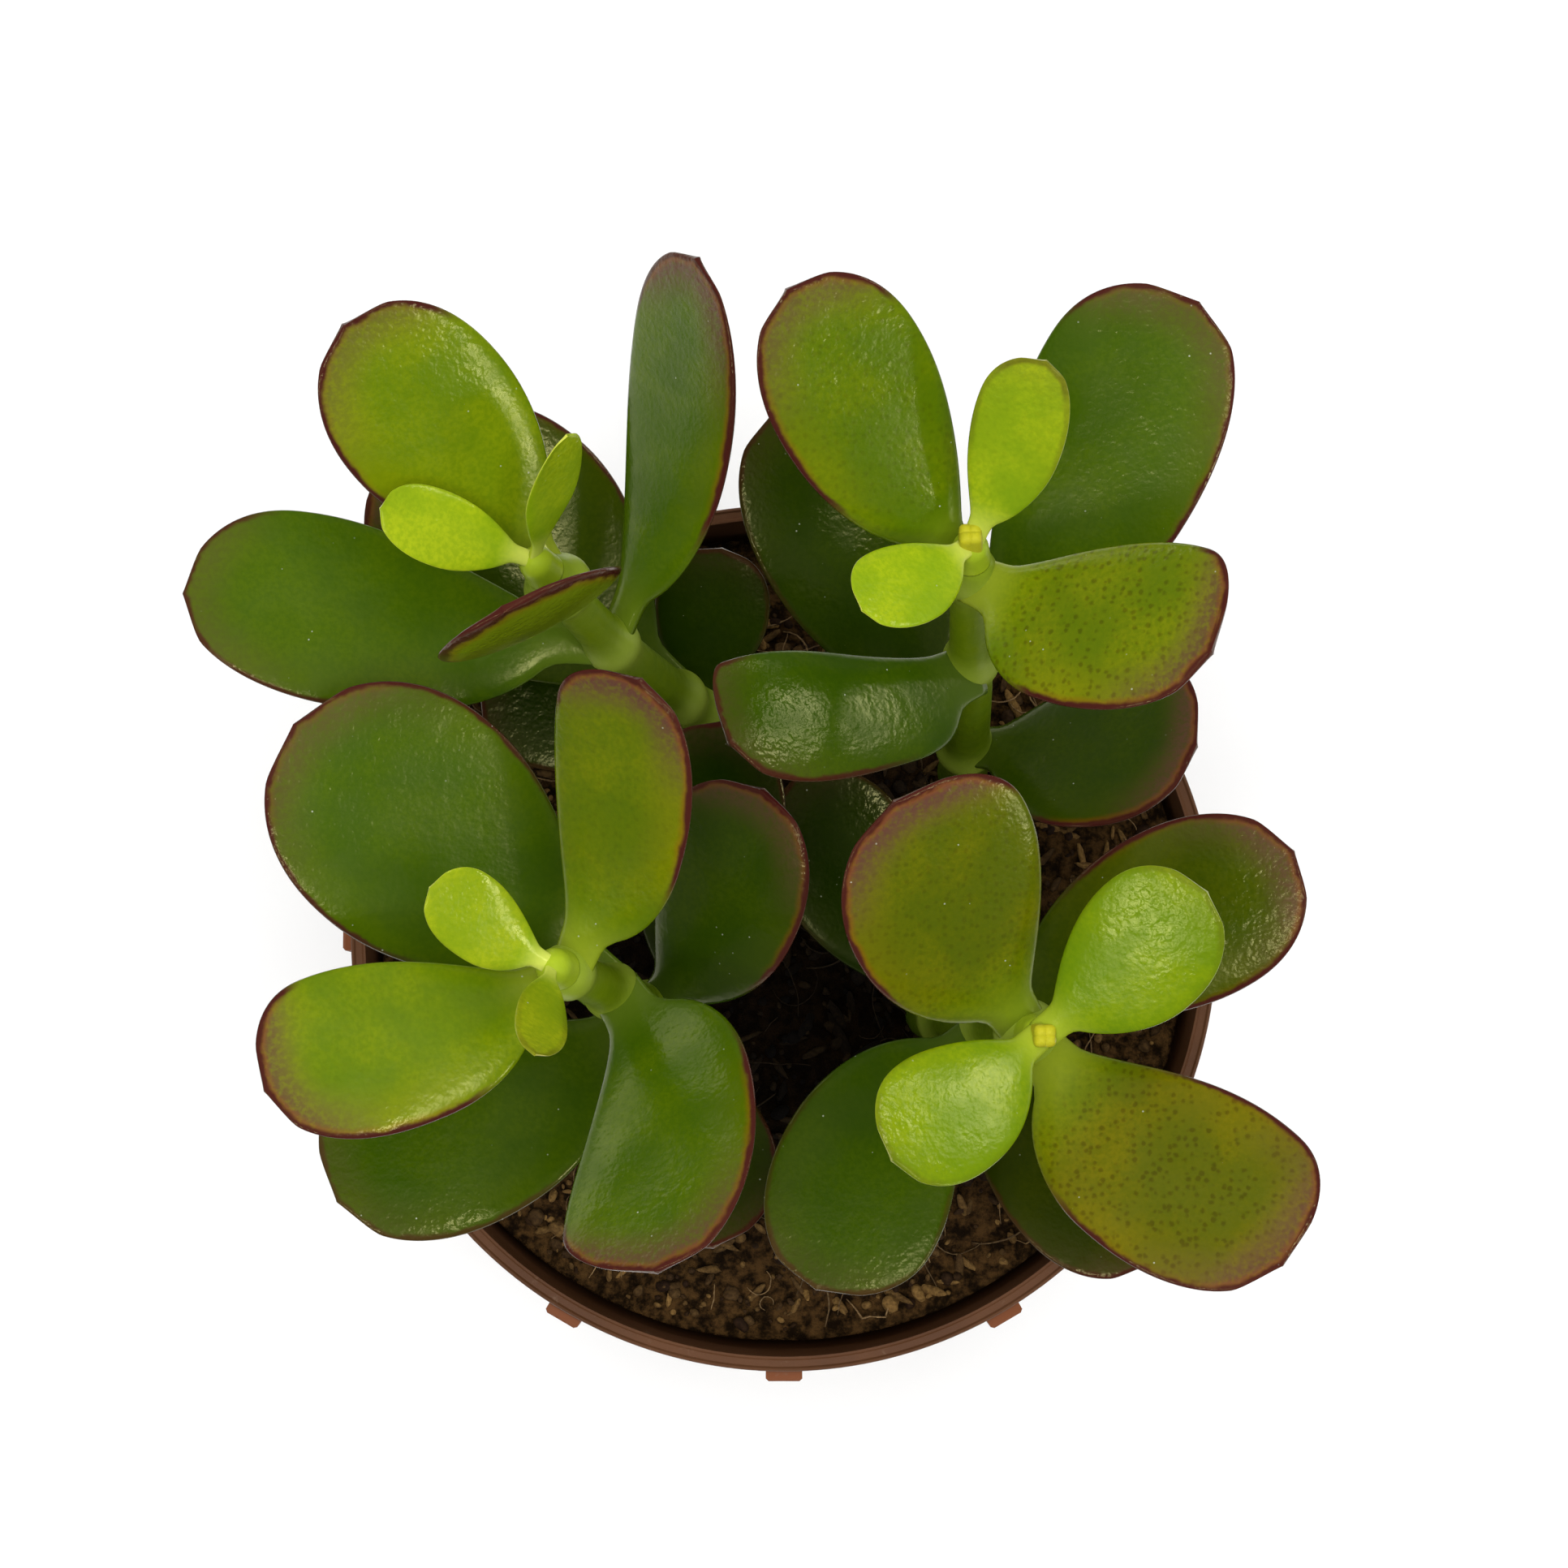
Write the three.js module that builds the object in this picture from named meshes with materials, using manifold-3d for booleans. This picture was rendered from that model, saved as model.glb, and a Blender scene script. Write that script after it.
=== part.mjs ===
// A young jade plant: four rooted cuttings in a round plastic nursery pot.
// Millimetres, +Z up, +X to the right, +Y to the back.
// The origin is the centre of the flat underside of the pot.

import * as THREE from "three";
import { mergeVertices } from "three/addons/utils/BufferGeometryUtils.js";
import Module from "manifold-3d";

const wasm = await Module();
wasm.setup();

// ---- Pot: a tapered nursery pot with a deeper collar under its rim ----
const POT_HEIGHT = 92;
const RIM_RADIUS = 52.5;
const RIM_WIDTH = 1.9;
const LIP_INSET = 0.5;
const LIP_DROP = 1.2;
const WALL = 1.4;
const COLLAR_HEIGHT = 14;
const COLLAR_FOOT_RADIUS = 51.4;
const COLLAR_STEP = 1;
const BODY_TOP_RADIUS = 49.2;
const BASE_RADIUS = 38.5;
const BASE_BEVEL = 1;
const FOOT_RING_RADIUS = 30.5;
const CENTRE_PAD_RADIUS = 12;
const BASE_RECESS = 1.5;
const BASE_FLOOR = 3.1;
const POT_SIDES = 60;
const RIM_INSIDE = RIM_RADIUS - RIM_WIDTH;
const COLLAR_FOOT = POT_HEIGHT - COLLAR_HEIGHT;
const SHOULDER = COLLAR_FOOT - COLLAR_STEP;

// Drainage holes go through the raised ring of the base.
const DRAIN_COUNT = 6;
const DRAIN_RADIUS = 4;
const DRAIN_CIRCLE = 21;
const DRAIN_SIDES = 20;

// Small lugs round the collar keep stacked pots apart.
const LUG_COUNT = 12;
const LUG_WIDTH = 4.4;
const LUG_HEIGHT = 6;
const LUG_DROP = 3.6;
const LUG_REACH = 1.5;

// ---- Soil: fills the pot to just below the rim ----
const GAP = 0.3;
const SOIL_DROP = 5;
const SOIL_WALL_GAP = 0.4;
const SOIL_EDGE_GAP = 1.2;
const SOIL_LUMP = 0.7;
const SOIL_SIDES = 40;
const SOIL_TOP = POT_HEIGHT - SOIL_DROP;
// Rings of corners over the soil's surface, as shares of its radius, from its edge inwards.
const SOIL_RINGS = [1, 0.9, 0.78, 0.64, 0.5, 0.35, 0.18, 0];
// Each stem stands in a hole that follows it up to this share of its line, above the soil.
const HOLE_SHARE = 0.28;
const HOLE_GAP = 0.4;
const HOLE_SIDES = 14;
const HOLE_STEPS = 6;

// ---- Stems ----
const STEM_SIDES = 9;
const STEM_STEPS = 20;
const FOOT_RADIUS = 3.4;
const STEM_TOP_RADIUS = 2.1;
// A stem swells by this much at each pair of leaves, over this much of its height.
const NODE_SWELL = 0.45;
const NODE_SPREAD = 2;
const HEIGHT_SEARCHES = 30;
const TIP_RADIUS = 1.7;
const TIP_TAPER = 0.2;

// ---- Leaves ----
// Stations along a leaf from its root, 0, to its tip, 1, closer where its outline turns fast.
const LEAF_STATIONS = [0, 0.1, 0.22, 0.36, 0.5, 0.64, 0.77, 0.88, 0.955, 0.99];
// Places across the blade, from edge to edge, where the section has a corner.
const LEAF_CORNERS = [1, 0.6, 0, -0.6];
const WIDEST_AT = 0.64;
// A flank that leans fully to the root is widest this much nearer to it, and spreads by a power
// this share lower. The other flank does the opposite.
const LEAN_SHIFT = 0.18;
const LEAN_SPREAD = 0.5;
const NECK_LENGTH = 0.15;
// The neck turns softly into the blade, over about this share of the length.
const NECK_BLEND = 0.02;
const NECK_SHARE = 0.22;
// The powers shape the outline: a higher one widens more slowly, or ends more bluntly.
const SPREAD_POWER = 0.8;
const TIP_POWER = 2.3;
const THICKNESS_SHARE = 0.15;
const MOST_THICKNESS = 3;
const NECK_THICKNESS = 2.4;
const THICK_FROM = 0.4;
const TIP_THINNING = 0.75;
const UPPER_SHARE = 0.4;
const BULGE_POWER = 0.7;
const CUP_SHARE = 0.04;

// Each cutting: the line that its stem follows from its foot up, as x, y and the height above
// the pot's rim, then its grown leaves, the small leaves of its growing tip, and how far the
// bud between those stands above them. A leaf is a row of numbers: the height of its root
// above the rim, the way it points seen from above (degrees from +X), how steeply it rises,
// how much it curls up along its length, its length, its width, how far it is rolled, left
// edge up, how much it bows to its left, and how much its left flank leans to the root, as a
// share. Angles are in degrees.
const CUTTINGS = [
  {
    place: "back_left",
    line: [[-6, 23, -17], [-7, 24, -4], [-12.5, 26.5, 14], [-19, 30, 33], [-25, 34.8, 52]],
    leaves: [
      [47.5, 131.5, 37, 10, 37, 19.5, 0, 12, 0],
      [48, -109, 75, 30, 31, 20, 47, 0, 0],
      [33, 175, 11, 0, 46.5, 21, 0, 0, 0.6],
      [33, 74, 36, 25, 46, 18, -40, 0, -0.6],
      [14, 139, 20, 0, 44, 29, 0, 0, 0],
      [4, 173, 15, 0, 28, 18, 0, 0, 0],
      [8, 80, 25, 0, 20.5, 14, 0, 0, 0],
    ],
    tip: [
      [54, 167, 35, 0, 18, 8, 0, 0, 0.1],
      [54, 66, 52, 0, 17.5, 7, 66, 0, 0],
    ],
    bud: 0,
  },
  {
    place: "back_right",
    line: [[22, 20, -17], [22, 20, -4], [21.5, 22, 10], [20.5, 28, 34], [19, 35.5, 56]],
    leaves: [
      [52, 128, 33, 0, 37, 18.3, 0, 0, 0.3],
      [52, -26, 35, 0, 30, 20.3, 0, 0, -1],
      [34, 57, 18, 0, 45.5, 23.5, 0, 0, -0.6],
      [34, -156, 34, 0, 34.5, 17, 0, 0, 1.5],
      [8, -3, 25, 0, 28.5, 24, -28, 0, -0.6],
      [8, 122, 20, 0, 46, 21, 0, 0, 0],
    ],
    tip: [
      [58, 67, 44, 0, 22.5, 10, 0, 0, -0.5],
      [58, -143, 36, 0, 17.5, 9.2, 0, 0, 0.4],
    ],
    bud: 2,
  },
  {
    place: "front_left",
    line: [[-11, -13, -17], [-11.5, -13, -4], [-13, -11.5, 8], [-18, -8.5, 36], [-22.6, -6.6, 57]],
    leaves: [
      [54, 73, 34, 25, 34.5, 17, -15, 0, -1],
      [54, -157.5, 15, 0, 32.3, 18.5, 0, 0, 0.7],
      [38, 140, 15, 0, 44, 27, 0, 0, 0],
      [38, -78, 38, 0, 37, 22, 15, -35, 1],
      [22, 60, 41, 0, 35, 19.5, -15, 25, -0.3],
      [22, -147.5, 15, 0, 40.5, 23, 0, 0, 0.6],
      [6, 80, 28, 0, 39.5, 18, 0, 0, 0],
      [6, -79, 33, 0, 30, 18, 0, 0, 0],
    ],
    tip: [
      [59, 147, 33, 0, 15.8, 8.5, 0, 0, 0.5],
      [59, -90, 62, 0, 19, 5.6, -30, 0, 0],
    ],
    bud: 0,
  },
  {
    place: "front_right",
    line: [[18, -10, -17], [18, -10, -4], [20, -11, 10], [23, -12, 26], [26, -13, 45.5]],
    leaves: [
      [43, 123, 32, 0, 32, 23.3, 0, 0, 0.6],
      [42, -43.5, 16, 0, 35.6, 22.5, 0, 0, -0.8],
      [24, 30, 21, 0, 39.8, 20.5, 0, 0, 0.3],
      [24, -124, 11, 0, 35.5, 21, 0, 30, -0.4],
      [6, 123, 10, 0, 34, 18, 0, 0, 0],
      [6, -51, 12, 0, 37, 19, 0, 0, 0],
    ],
    tip: [
      [48, 42, 32, 0, 24.5, 15, 0, 0, -0.3],
      [48, -142, 33, 0, 24, 14, 0, 0, 0.3],
    ],
    bud: 2,
  },
];

const materials = {
  pot: new THREE.MeshStandardMaterial({ color: 0x6b4030, roughness: 0.7, metalness: 0 }),
  soil: new THREE.MeshStandardMaterial({ color: 0x2c1c12, roughness: 1, metalness: 0 }),
  leaf: new THREE.MeshStandardMaterial({ color: 0x4d7a12, roughness: 0.4, metalness: 0 }),
  young: new THREE.MeshStandardMaterial({ color: 0x9db41c, roughness: 0.45, metalness: 0 }),
};

const radians = THREE.MathUtils.degToRad;

// ---- Joining and cutting ----

// A closed three.js geometry as a solid that can be joined and cut.
function toSolid(geometry) {
  geometry.deleteAttribute("normal");
  geometry.deleteAttribute("uv");
  const merged = mergeVertices(geometry, 1e-4);
  return new wasm.Manifold(new wasm.Mesh({
    numProp: 3,
    vertProperties: new Float32Array(merged.attributes.position.array),
    triVerts: new Uint32Array(merged.index.array),
  }));
}

// The solid back as a three.js geometry.
function toGeometry(solid) {
  const mesh = solid.getMesh();
  const geometry = new THREE.BufferGeometry();
  geometry.setAttribute("position", new THREE.BufferAttribute(mesh.vertProperties, 3));
  geometry.setIndex(new THREE.BufferAttribute(mesh.triVerts, 1));
  geometry.computeVertexNormals();
  return geometry;
}

// A closed skin over rings of points, all with the same count, with a middle point at each end.
function loft(rings, startPoint, endPoint) {
  const sides = rings[0].length;
  const points = [startPoint, ...rings.flat(), endPoint];
  const last = points.length - 1;
  const index = [];
  for (let side = 0; side < sides; side += 1) {
    const next = (side + 1) % sides;
    index.push(0, 1 + next, 1 + side);
    for (let ring = 0; ring < rings.length - 1; ring += 1) {
      const low = 1 + ring * sides;
      const high = low + sides;
      index.push(low + side, low + next, high + side);
      index.push(low + next, high + next, high + side);
    }
    const top = last - sides;
    index.push(top + side, top + next, last);
  }
  const geometry = new THREE.BufferGeometry().setFromPoints(points);
  geometry.setIndex(index);
  return geometry;
}

// ---- Leaves ----

// One flank's reach at a place along a blade, as a share of its widest.
function outline(along, lean) {
  const widestAt = WIDEST_AT - LEAN_SHIFT * lean;
  if (along < widestAt) {
    const beyond = along - NECK_LENGTH;
    const past = (beyond + Math.hypot(beyond, NECK_BLEND)) / 2 / (widestAt - NECK_LENGTH);
    const power = SPREAD_POWER * (1 - LEAN_SPREAD * lean);
    return NECK_SHARE + (1 - NECK_SHARE) * Math.sin((Math.PI / 2) * Math.min(past, 1)) ** power;
  }
  const past = (along - widestAt) / (1 - widestAt);
  return Math.sqrt(1 - past ** TIP_POWER);
}

// The blade's thickness at a place along it, thinning to the tip.
function thickness(along, width) {
  const full = Math.min(THICKNESS_SHARE * width, MOST_THICKNESS);
  const neck = Math.min(NECK_THICKNESS, full);
  const middle = THREE.MathUtils.lerp(neck, full, Math.min(along / THICK_FROM, 1));
  return middle * (1 - TIP_THINNING * along ** 3);
}

// The way a leaf sets out: forward along it, to its left edge, and out of its upper side.
function leafFrame(turn, rise, roll) {
  const flat = Math.cos(radians(rise));
  const forward = new THREE.Vector3(
    flat * Math.cos(radians(turn)),
    flat * Math.sin(radians(turn)),
    Math.sin(radians(rise)),
  );
  const left = new THREE.Vector3(-Math.sin(radians(turn)), Math.cos(radians(turn)), 0);
  left.applyAxisAngle(forward, radians(roll));
  return { forward, left, up: new THREE.Vector3().crossVectors(forward, left) };
}

// The same frame turned up by one angle and to the left by another.
function turnFrame({ forward, left, up }, bend, sweep) {
  const side = left.clone().applyAxisAngle(up, sweep);
  return {
    forward: forward.clone().applyAxisAngle(up, sweep).applyAxisAngle(side, -bend),
    left: side,
    up: up.clone().applyAxisAngle(side, -bend),
  };
}

// One succulent leaf: lens-shaped across, narrow at its root and blunt at its tip.
function leafGeometry(root, [, turn, rise, curl, length, width, roll, bow, lean]) {
  const start = leafFrame(turn, rise, roll);
  const frameAt = (along) => {
    return turnFrame(start, radians(curl) * (along - 0.5), radians(bow) * (along - 0.5));
  };
  const point = root.clone();
  const rings = [];
  let before = 0;
  for (const along of [...LEAF_STATIONS, 1]) {
    point.addScaledVector(frameAt((along + before) / 2).forward, length * (along - before));
    if (along < 1) {
      rings.push(leafRing(point, frameAt(along), along, width, lean));
    }
    before = along;
  }
  return loft(rings, root.clone(), point);
}

// The closed section of a leaf: its upper side from left to right, then its lower side back.
function leafRing(centre, { left, up }, along, width, lean) {
  const thick = thickness(along, width);
  const upper = LEAF_CORNERS.map((across) => [across, UPPER_SHARE]);
  const lower = LEAF_CORNERS.map((across) => [-across, UPPER_SHARE - 1]);
  return [...upper, ...lower].map(([across, share]) => {
    const half = (width / 2) * outline(along, Math.sign(across) * lean);
    const bulge = share * thick * (1 - across ** 2) ** BULGE_POWER;
    const cup = CUP_SHARE * half * across ** 2;
    return centre.clone().addScaledVector(left, across * half).addScaledVector(up, bulge + cup);
  });
}

// ---- Stems ----

function stemCurve(line) {
  const points = line.map(([x, y, rise]) => new THREE.Vector3(x, y, POT_HEIGHT + rise));
  return new THREE.CatmullRomCurve3(points, false, "centripetal");
}

// The point of a stem's middle line at a height above the rim.
function pointAtHeight(curve, height) {
  let low = 0;
  let high = 1;
  for (let step = 0; step < HEIGHT_SEARCHES; step += 1) {
    const half = (low + high) / 2;
    if (curve.getPoint(half).z < POT_HEIGHT + height) {
      low = half;
    } else {
      high = half;
    }
  }
  return curve.getPoint(low);
}

// A ring of points around a centre, square to a direction.
function circleRing(centre, direction, radius, sides) {
  const side = new THREE.Vector3(1, 0, 0).projectOnPlane(direction).normalize();
  const other = new THREE.Vector3().crossVectors(direction, side);
  return Array.from({ length: sides }, (_, corner) => {
    const angle = (2 * Math.PI * corner) / sides;
    const point = centre.clone().addScaledVector(side, radius * Math.cos(angle));
    return point.addScaledVector(other, radius * Math.sin(angle));
  });
}

// A round stem along its curve, swollen at each pair of leaves.
function stemGeometry(curve, nodeHeights) {
  const rings = [];
  for (let step = 0; step <= STEM_STEPS; step += 1) {
    const along = step / STEM_STEPS;
    const centre = curve.getPoint(along);
    let radius = THREE.MathUtils.lerp(FOOT_RADIUS, STEM_TOP_RADIUS, along);
    for (const node of nodeHeights) {
      radius += NODE_SWELL * Math.exp(-(((centre.z - POT_HEIGHT - node) / NODE_SPREAD) ** 2));
    }
    rings.push(circleRing(centre, curve.getTangent(along), radius, STEM_SIDES));
  }
  return loft(rings, curve.getPoint(0), curve.getPoint(1));
}

function fuse(geometries) {
  return geometries.map(toSolid).reduce((whole, piece) => whole.add(piece));
}

function leafyStem({ line, leaves }) {
  const curve = stemCurve(line);
  const heights = leaves.map(([height]) => height);
  const blades = leaves.map((leaf) => leafGeometry(pointAtHeight(curve, leaf[0]), leaf));
  return fuse([stemGeometry(curve, heights), ...blades]);
}

// The growing tip: a short soft stem just clear of the one below, with its leaves and a bud.
function youngTip({ line, tip, bud }) {
  const curve = stemCurve(line);
  const direction = curve.getTangent(1);
  const foot = curve.getPoint(1).addScaledVector(direction, GAP);
  const climb = POT_HEIGHT + tip[0][0] - foot.z + bud;
  const end = foot.clone().addScaledVector(direction, climb / direction.z);
  const root = end.clone().addScaledVector(direction, -bud / direction.z);
  const stalk = new THREE.LineCurve3(foot, end);
  const rings = [0, 0.5, 1].map((along) => {
    const radius = TIP_RADIUS * (1 - TIP_TAPER * along);
    return circleRing(stalk.getPoint(along), direction, radius, STEM_SIDES);
  });
  const dome = end.clone().addScaledVector(direction, TIP_RADIUS / 2);
  const blades = tip.map((leaf) => leafGeometry(root, leaf));
  return fuse([loft(rings, foot, dome), ...blades]);
}

// ---- Pot ----

// Radii and heights of the pot's wall, from the middle of its underside up the outside,
// over the rim and down the inside back to the middle.
function potProfile() {
  const outside = [
    [0, 0],
    [CENTRE_PAD_RADIUS, 0],
    [CENTRE_PAD_RADIUS + BASE_RECESS, BASE_RECESS],
    [FOOT_RING_RADIUS - BASE_RECESS, BASE_RECESS],
    [FOOT_RING_RADIUS, 0],
    [BASE_RADIUS - BASE_BEVEL, 0],
    [BASE_RADIUS, BASE_BEVEL],
    [BODY_TOP_RADIUS, SHOULDER],
    [COLLAR_FOOT_RADIUS, COLLAR_FOOT],
    [RIM_RADIUS, POT_HEIGHT - LIP_DROP],
    [RIM_RADIUS - LIP_INSET, POT_HEIGHT],
  ];
  const inside = [
    [RIM_INSIDE, POT_HEIGHT],
    [COLLAR_FOOT_RADIUS - WALL, COLLAR_FOOT + COLLAR_STEP],
    [BODY_TOP_RADIUS - WALL, SHOULDER],
    [BASE_RADIUS - WALL, BASE_FLOOR],
    [0, BASE_FLOOR],
  ];
  return [...outside, ...inside].map(([radius, height]) => new THREE.Vector2(radius, height));
}

// A lathe turns about +Y, so its axis is stood up along +Z.
function turned(profile, sides) {
  return new THREE.LatheGeometry(profile, sides).rotateX(Math.PI / 2);
}

// Each lug is sunk halfway into the collar's wall.
function lugGeometries() {
  const inner = COLLAR_FOOT_RADIUS - WALL / 2;
  const outer = RIM_RADIUS + LUG_REACH;
  return Array.from({ length: LUG_COUNT }, (_, index) => {
    const lug = new THREE.BoxGeometry(outer - inner, LUG_WIDTH, LUG_HEIGHT);
    lug.translate((outer + inner) / 2, 0, POT_HEIGHT - LUG_DROP - LUG_HEIGHT / 2);
    return lug.rotateZ((2 * Math.PI * index) / LUG_COUNT);
  });
}

function drainGeometries() {
  return Array.from({ length: DRAIN_COUNT }, (_, index) => {
    const angle = (2 * Math.PI * (index + 0.5)) / DRAIN_COUNT;
    const drain = new THREE.CylinderGeometry(DRAIN_RADIUS, DRAIN_RADIUS, 4 * BASE_FLOOR, DRAIN_SIDES);
    drain.rotateX(Math.PI / 2);
    return drain.translate(DRAIN_CIRCLE * Math.cos(angle), DRAIN_CIRCLE * Math.sin(angle), 0);
  });
}

function potSolid() {
  const shell = fuse([turned(potProfile(), POT_SIDES), ...lugGeometries()]);
  return shell.subtract(fuse(drainGeometries()));
}

// ---- Soil ----

// How far the soil's surface stands above or below its level, as soft lumps and hollows.
function soilLump(x, y) {
  const broad = Math.sin(0.21 * x + 1.3) * Math.cos(0.18 * y - 0.4);
  const fine = Math.sin(0.55 * x - 0.3 * y) * Math.cos(0.47 * y + 0.2 * x + 0.9);
  return SOIL_LUMP * (0.6 * broad + 0.4 * fine);
}

// The soil's radius at a height below the collar, a gap inside the pot's wall.
function soilRadius(height) {
  const share = (height - BASE_FLOOR) / (SHOULDER - BASE_FLOOR);
  return THREE.MathUtils.lerp(BASE_RADIUS, BODY_TOP_RADIUS, share) - WALL - SOIL_WALL_GAP;
}

function soilSolid() {
  const low = BASE_FLOOR + GAP;
  const edge = RIM_INSIDE - SOIL_EDGE_GAP;
  const side = [[0, low], [soilRadius(low), low], [soilRadius(SHOULDER), SHOULDER]];
  const top = SOIL_RINGS.map((share) => [edge * share, SOIL_TOP]);
  const profile = [...side, ...top].map(([radius, height]) => new THREE.Vector2(radius, height));
  const geometry = turned(profile, SOIL_SIDES);
  const position = geometry.attributes.position;
  for (let index = 0; index < position.count; index += 1) {
    if (position.getZ(index) > SOIL_TOP - 0.1) {
      position.setZ(index, SOIL_TOP + soilLump(position.getX(index), position.getY(index)));
    }
  }
  const holes = CUTTINGS.map(({ line }) => toSolid(stemHole(stemCurve(line))));
  return holes.reduce((soil, hole) => soil.subtract(hole), toSolid(geometry));
}

// The plain hole for a stem, a gap wider and deeper than the stem.
function stemHole(curve) {
  const foot = curve.getPoint(0).addScaledVector(curve.getTangent(0), -GAP);
  const rings = [];
  for (let step = 0; step <= HOLE_STEPS; step += 1) {
    const along = (HOLE_SHARE * step) / HOLE_STEPS;
    const centre = step === 0 ? foot : curve.getPoint(along);
    rings.push(circleRing(centre, curve.getTangent(along), FOOT_RADIUS + HOLE_GAP, HOLE_SIDES));
  }
  return loft(rings, foot, curve.getPoint(HOLE_SHARE));
}

// ---- The assembly ----

function addPiece(group, name, solid, material) {
  const mesh = new THREE.Mesh(toGeometry(solid), material);
  mesh.name = name;
  group.add(mesh);
}

const group = new THREE.Group();
addPiece(group, "pot", potSolid(), materials.pot);
addPiece(group, "soil", soilSolid(), materials.soil);
for (const cutting of CUTTINGS) {
  addPiece(group, `leafy_stem_${cutting.place}`, leafyStem(cutting), materials.leaf);
  addPiece(group, `young_tip_${cutting.place}`, youngTip(cutting), materials.young);
}

export default group;
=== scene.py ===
"""A young jade plant in a plastic nursery pot: its looks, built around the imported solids.

Lengths are millimetres in the tables and functions, and become metres as a mesh is made.
"""

import math

import bmesh
import bpy
import numpy as np
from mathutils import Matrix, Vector


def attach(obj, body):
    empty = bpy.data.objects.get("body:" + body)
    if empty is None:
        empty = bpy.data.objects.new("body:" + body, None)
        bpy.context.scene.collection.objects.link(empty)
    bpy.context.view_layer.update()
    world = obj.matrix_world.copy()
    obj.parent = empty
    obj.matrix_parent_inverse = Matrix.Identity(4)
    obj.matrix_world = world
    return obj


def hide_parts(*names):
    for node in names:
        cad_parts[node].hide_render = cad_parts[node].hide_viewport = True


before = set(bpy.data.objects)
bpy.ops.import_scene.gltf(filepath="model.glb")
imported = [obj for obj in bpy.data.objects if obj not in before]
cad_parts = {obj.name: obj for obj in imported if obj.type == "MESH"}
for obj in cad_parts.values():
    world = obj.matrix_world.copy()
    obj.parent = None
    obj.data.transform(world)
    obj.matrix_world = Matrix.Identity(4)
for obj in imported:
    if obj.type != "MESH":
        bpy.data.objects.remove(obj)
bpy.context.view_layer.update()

MM = 0.001
RANDOM_SEED = 11

# ---- Pot: the sizes of its solid, with a finer lip, lugs and base ----
POT_HEIGHT = 92.0
RIM_RADIUS = 52.5
RIM_WIDTH = 1.9
WALL = 1.4
COLLAR_HEIGHT = 14.0
COLLAR_FOOT_RADIUS = 51.4
COLLAR_STEP = 1.0
COLLAR_FOOT = POT_HEIGHT - COLLAR_HEIGHT
SHOULDER = COLLAR_FOOT - COLLAR_STEP
SHOULDER_BLEND = 0.3
STEP_ROUND = 0.25
BODY_TOP_RADIUS = 49.2
BASE_RADIUS = 38.5
BASE_ROUND = 1.0
FOOT_RING_RADIUS = 30.5
CENTRE_PAD_RADIUS = 12.0
BASE_RECESS = 1.5
BASE_FLOOR = 3.1
FLOOR_CORNER = 0.8
POT_SIDES = 240
SHARP_EDGE = 38.0
LIP_GROOVE = 0.22
# The lip from outside to inside: steps in from the rim's outside, then steps out from its
# inside, each with its drop below the pot's top.
OUTER_LIP = [(0, 1.0), (0.05, 0.3), (0.2, 0.08), (0.4, 0), (0.62, LIP_GROOVE)]
INNER_LIP = [(0.55, LIP_GROOVE), (0.35, 0.02), (0.1, 0.05), (0, 0.35)]
DRAIN_COUNT = 6
DRAIN_RADIUS = 4.0
DRAIN_CIRCLE = 21.0
DRAIN_SIDES = 48
LUG_COUNT = 12
LUG_WIDTH = 4.4
LUG_HEIGHT = 6.0
LUG_DROP = 3.6
LUG_REACH = 1.5
LUG_BEVEL = 0.35

# ---- Soil ----
SOIL_TOP = 87.0
SOIL_RADIUS = 49.3
SOIL_FOOT_RADIUS = 37.0
SOIL_LOW = 3.5
SOIL_SHOULDER_RADIUS = SOIL_RADIUS - 2.4
SOIL_LUMP = 0.7
SOIL_GRAIN = 0.16
SOIL_SIDES = 180
SOIL_RINGS = 80
# The soil is dark with painted shade inside the shade radius, and has no painted shade outside the
# unshaded one.
SHADE_MIDDLE_Y = -4.0
SHADE_RADIUS = 22.0
UNSHADED_RADIUS = 40.0
SHADED_SOIL_LIGHT = 0.12
CRUMB_COUNT = 1700
CHIP_COUNT = 700
CRUMB_LUMPS = 3
CRUMB_INSET = 0.9
CRUMB_DARK = np.array((0.022, 0.010, 0.004))
CRUMB_LIGHT = np.array((0.23, 0.13, 0.038))
FIBRE_COUNT = 230
FIBRE_STEPS = 12
FIBRE_SIDES = 6
FIBRE_LIFT = 0.25
FIBRE_START_INSET = 2.5
FIBRE_INSET = 1.2
FIBRE_COLOUR = np.array((0.30, 0.19, 0.085))

# ---- Stems and leaves ----
STEM_SIDES = 36
STEM_RINGS = 150
FOOT_RADIUS = 3.4
STEM_TOP_RADIUS = 2.1
STEM_END_ROUND = 1.6
STEM_END_DRAW = 0.9
NODE_SWELL = 0.8
NODE_SPREAD = 2.2
COLLAR_SPREAD = 1.4 * NODE_SPREAD
HEIGHT_SEARCH_STEPS = 2000
TIP_RADIUS = 1.7
TIP_SINK = 0.8
TIP_STALK_RISE = 0.6 * TIP_RADIUS
STALK_RINGS = 24
STALK_END_DRAW = 0.96
BUD_HALF_WIDTH = 1.1
BUD_SPACING = 0.38
BUD_FOOT_SHARE = 0.75
BUD_TOP_SHARE = 0.66
BUD_SQUARENESS = 0.2
LEAF_RINGS = 64
LEAF_SIDES = 40
# A blade's rings gather towards its tip by this power, and its margin is taken from this ring.
RING_GATHER = 1.7
MARGIN_RING = 6
WIDEST_AT = 0.64
LEAN_SHIFT = 0.18
NECK_LENGTH = 0.15
NECK_BLEND = 0.02
NECK_SHARE = 0.22
SPREAD_POWER = 0.8
LEAN_SPREAD = 0.5
TIP_POWER = 2.3
# Past this share of the way from its widest place, an outline draws in to a blunt corner.
CORNER_FROM = 0.88
CORNER_SLOPE = -4.3
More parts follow.
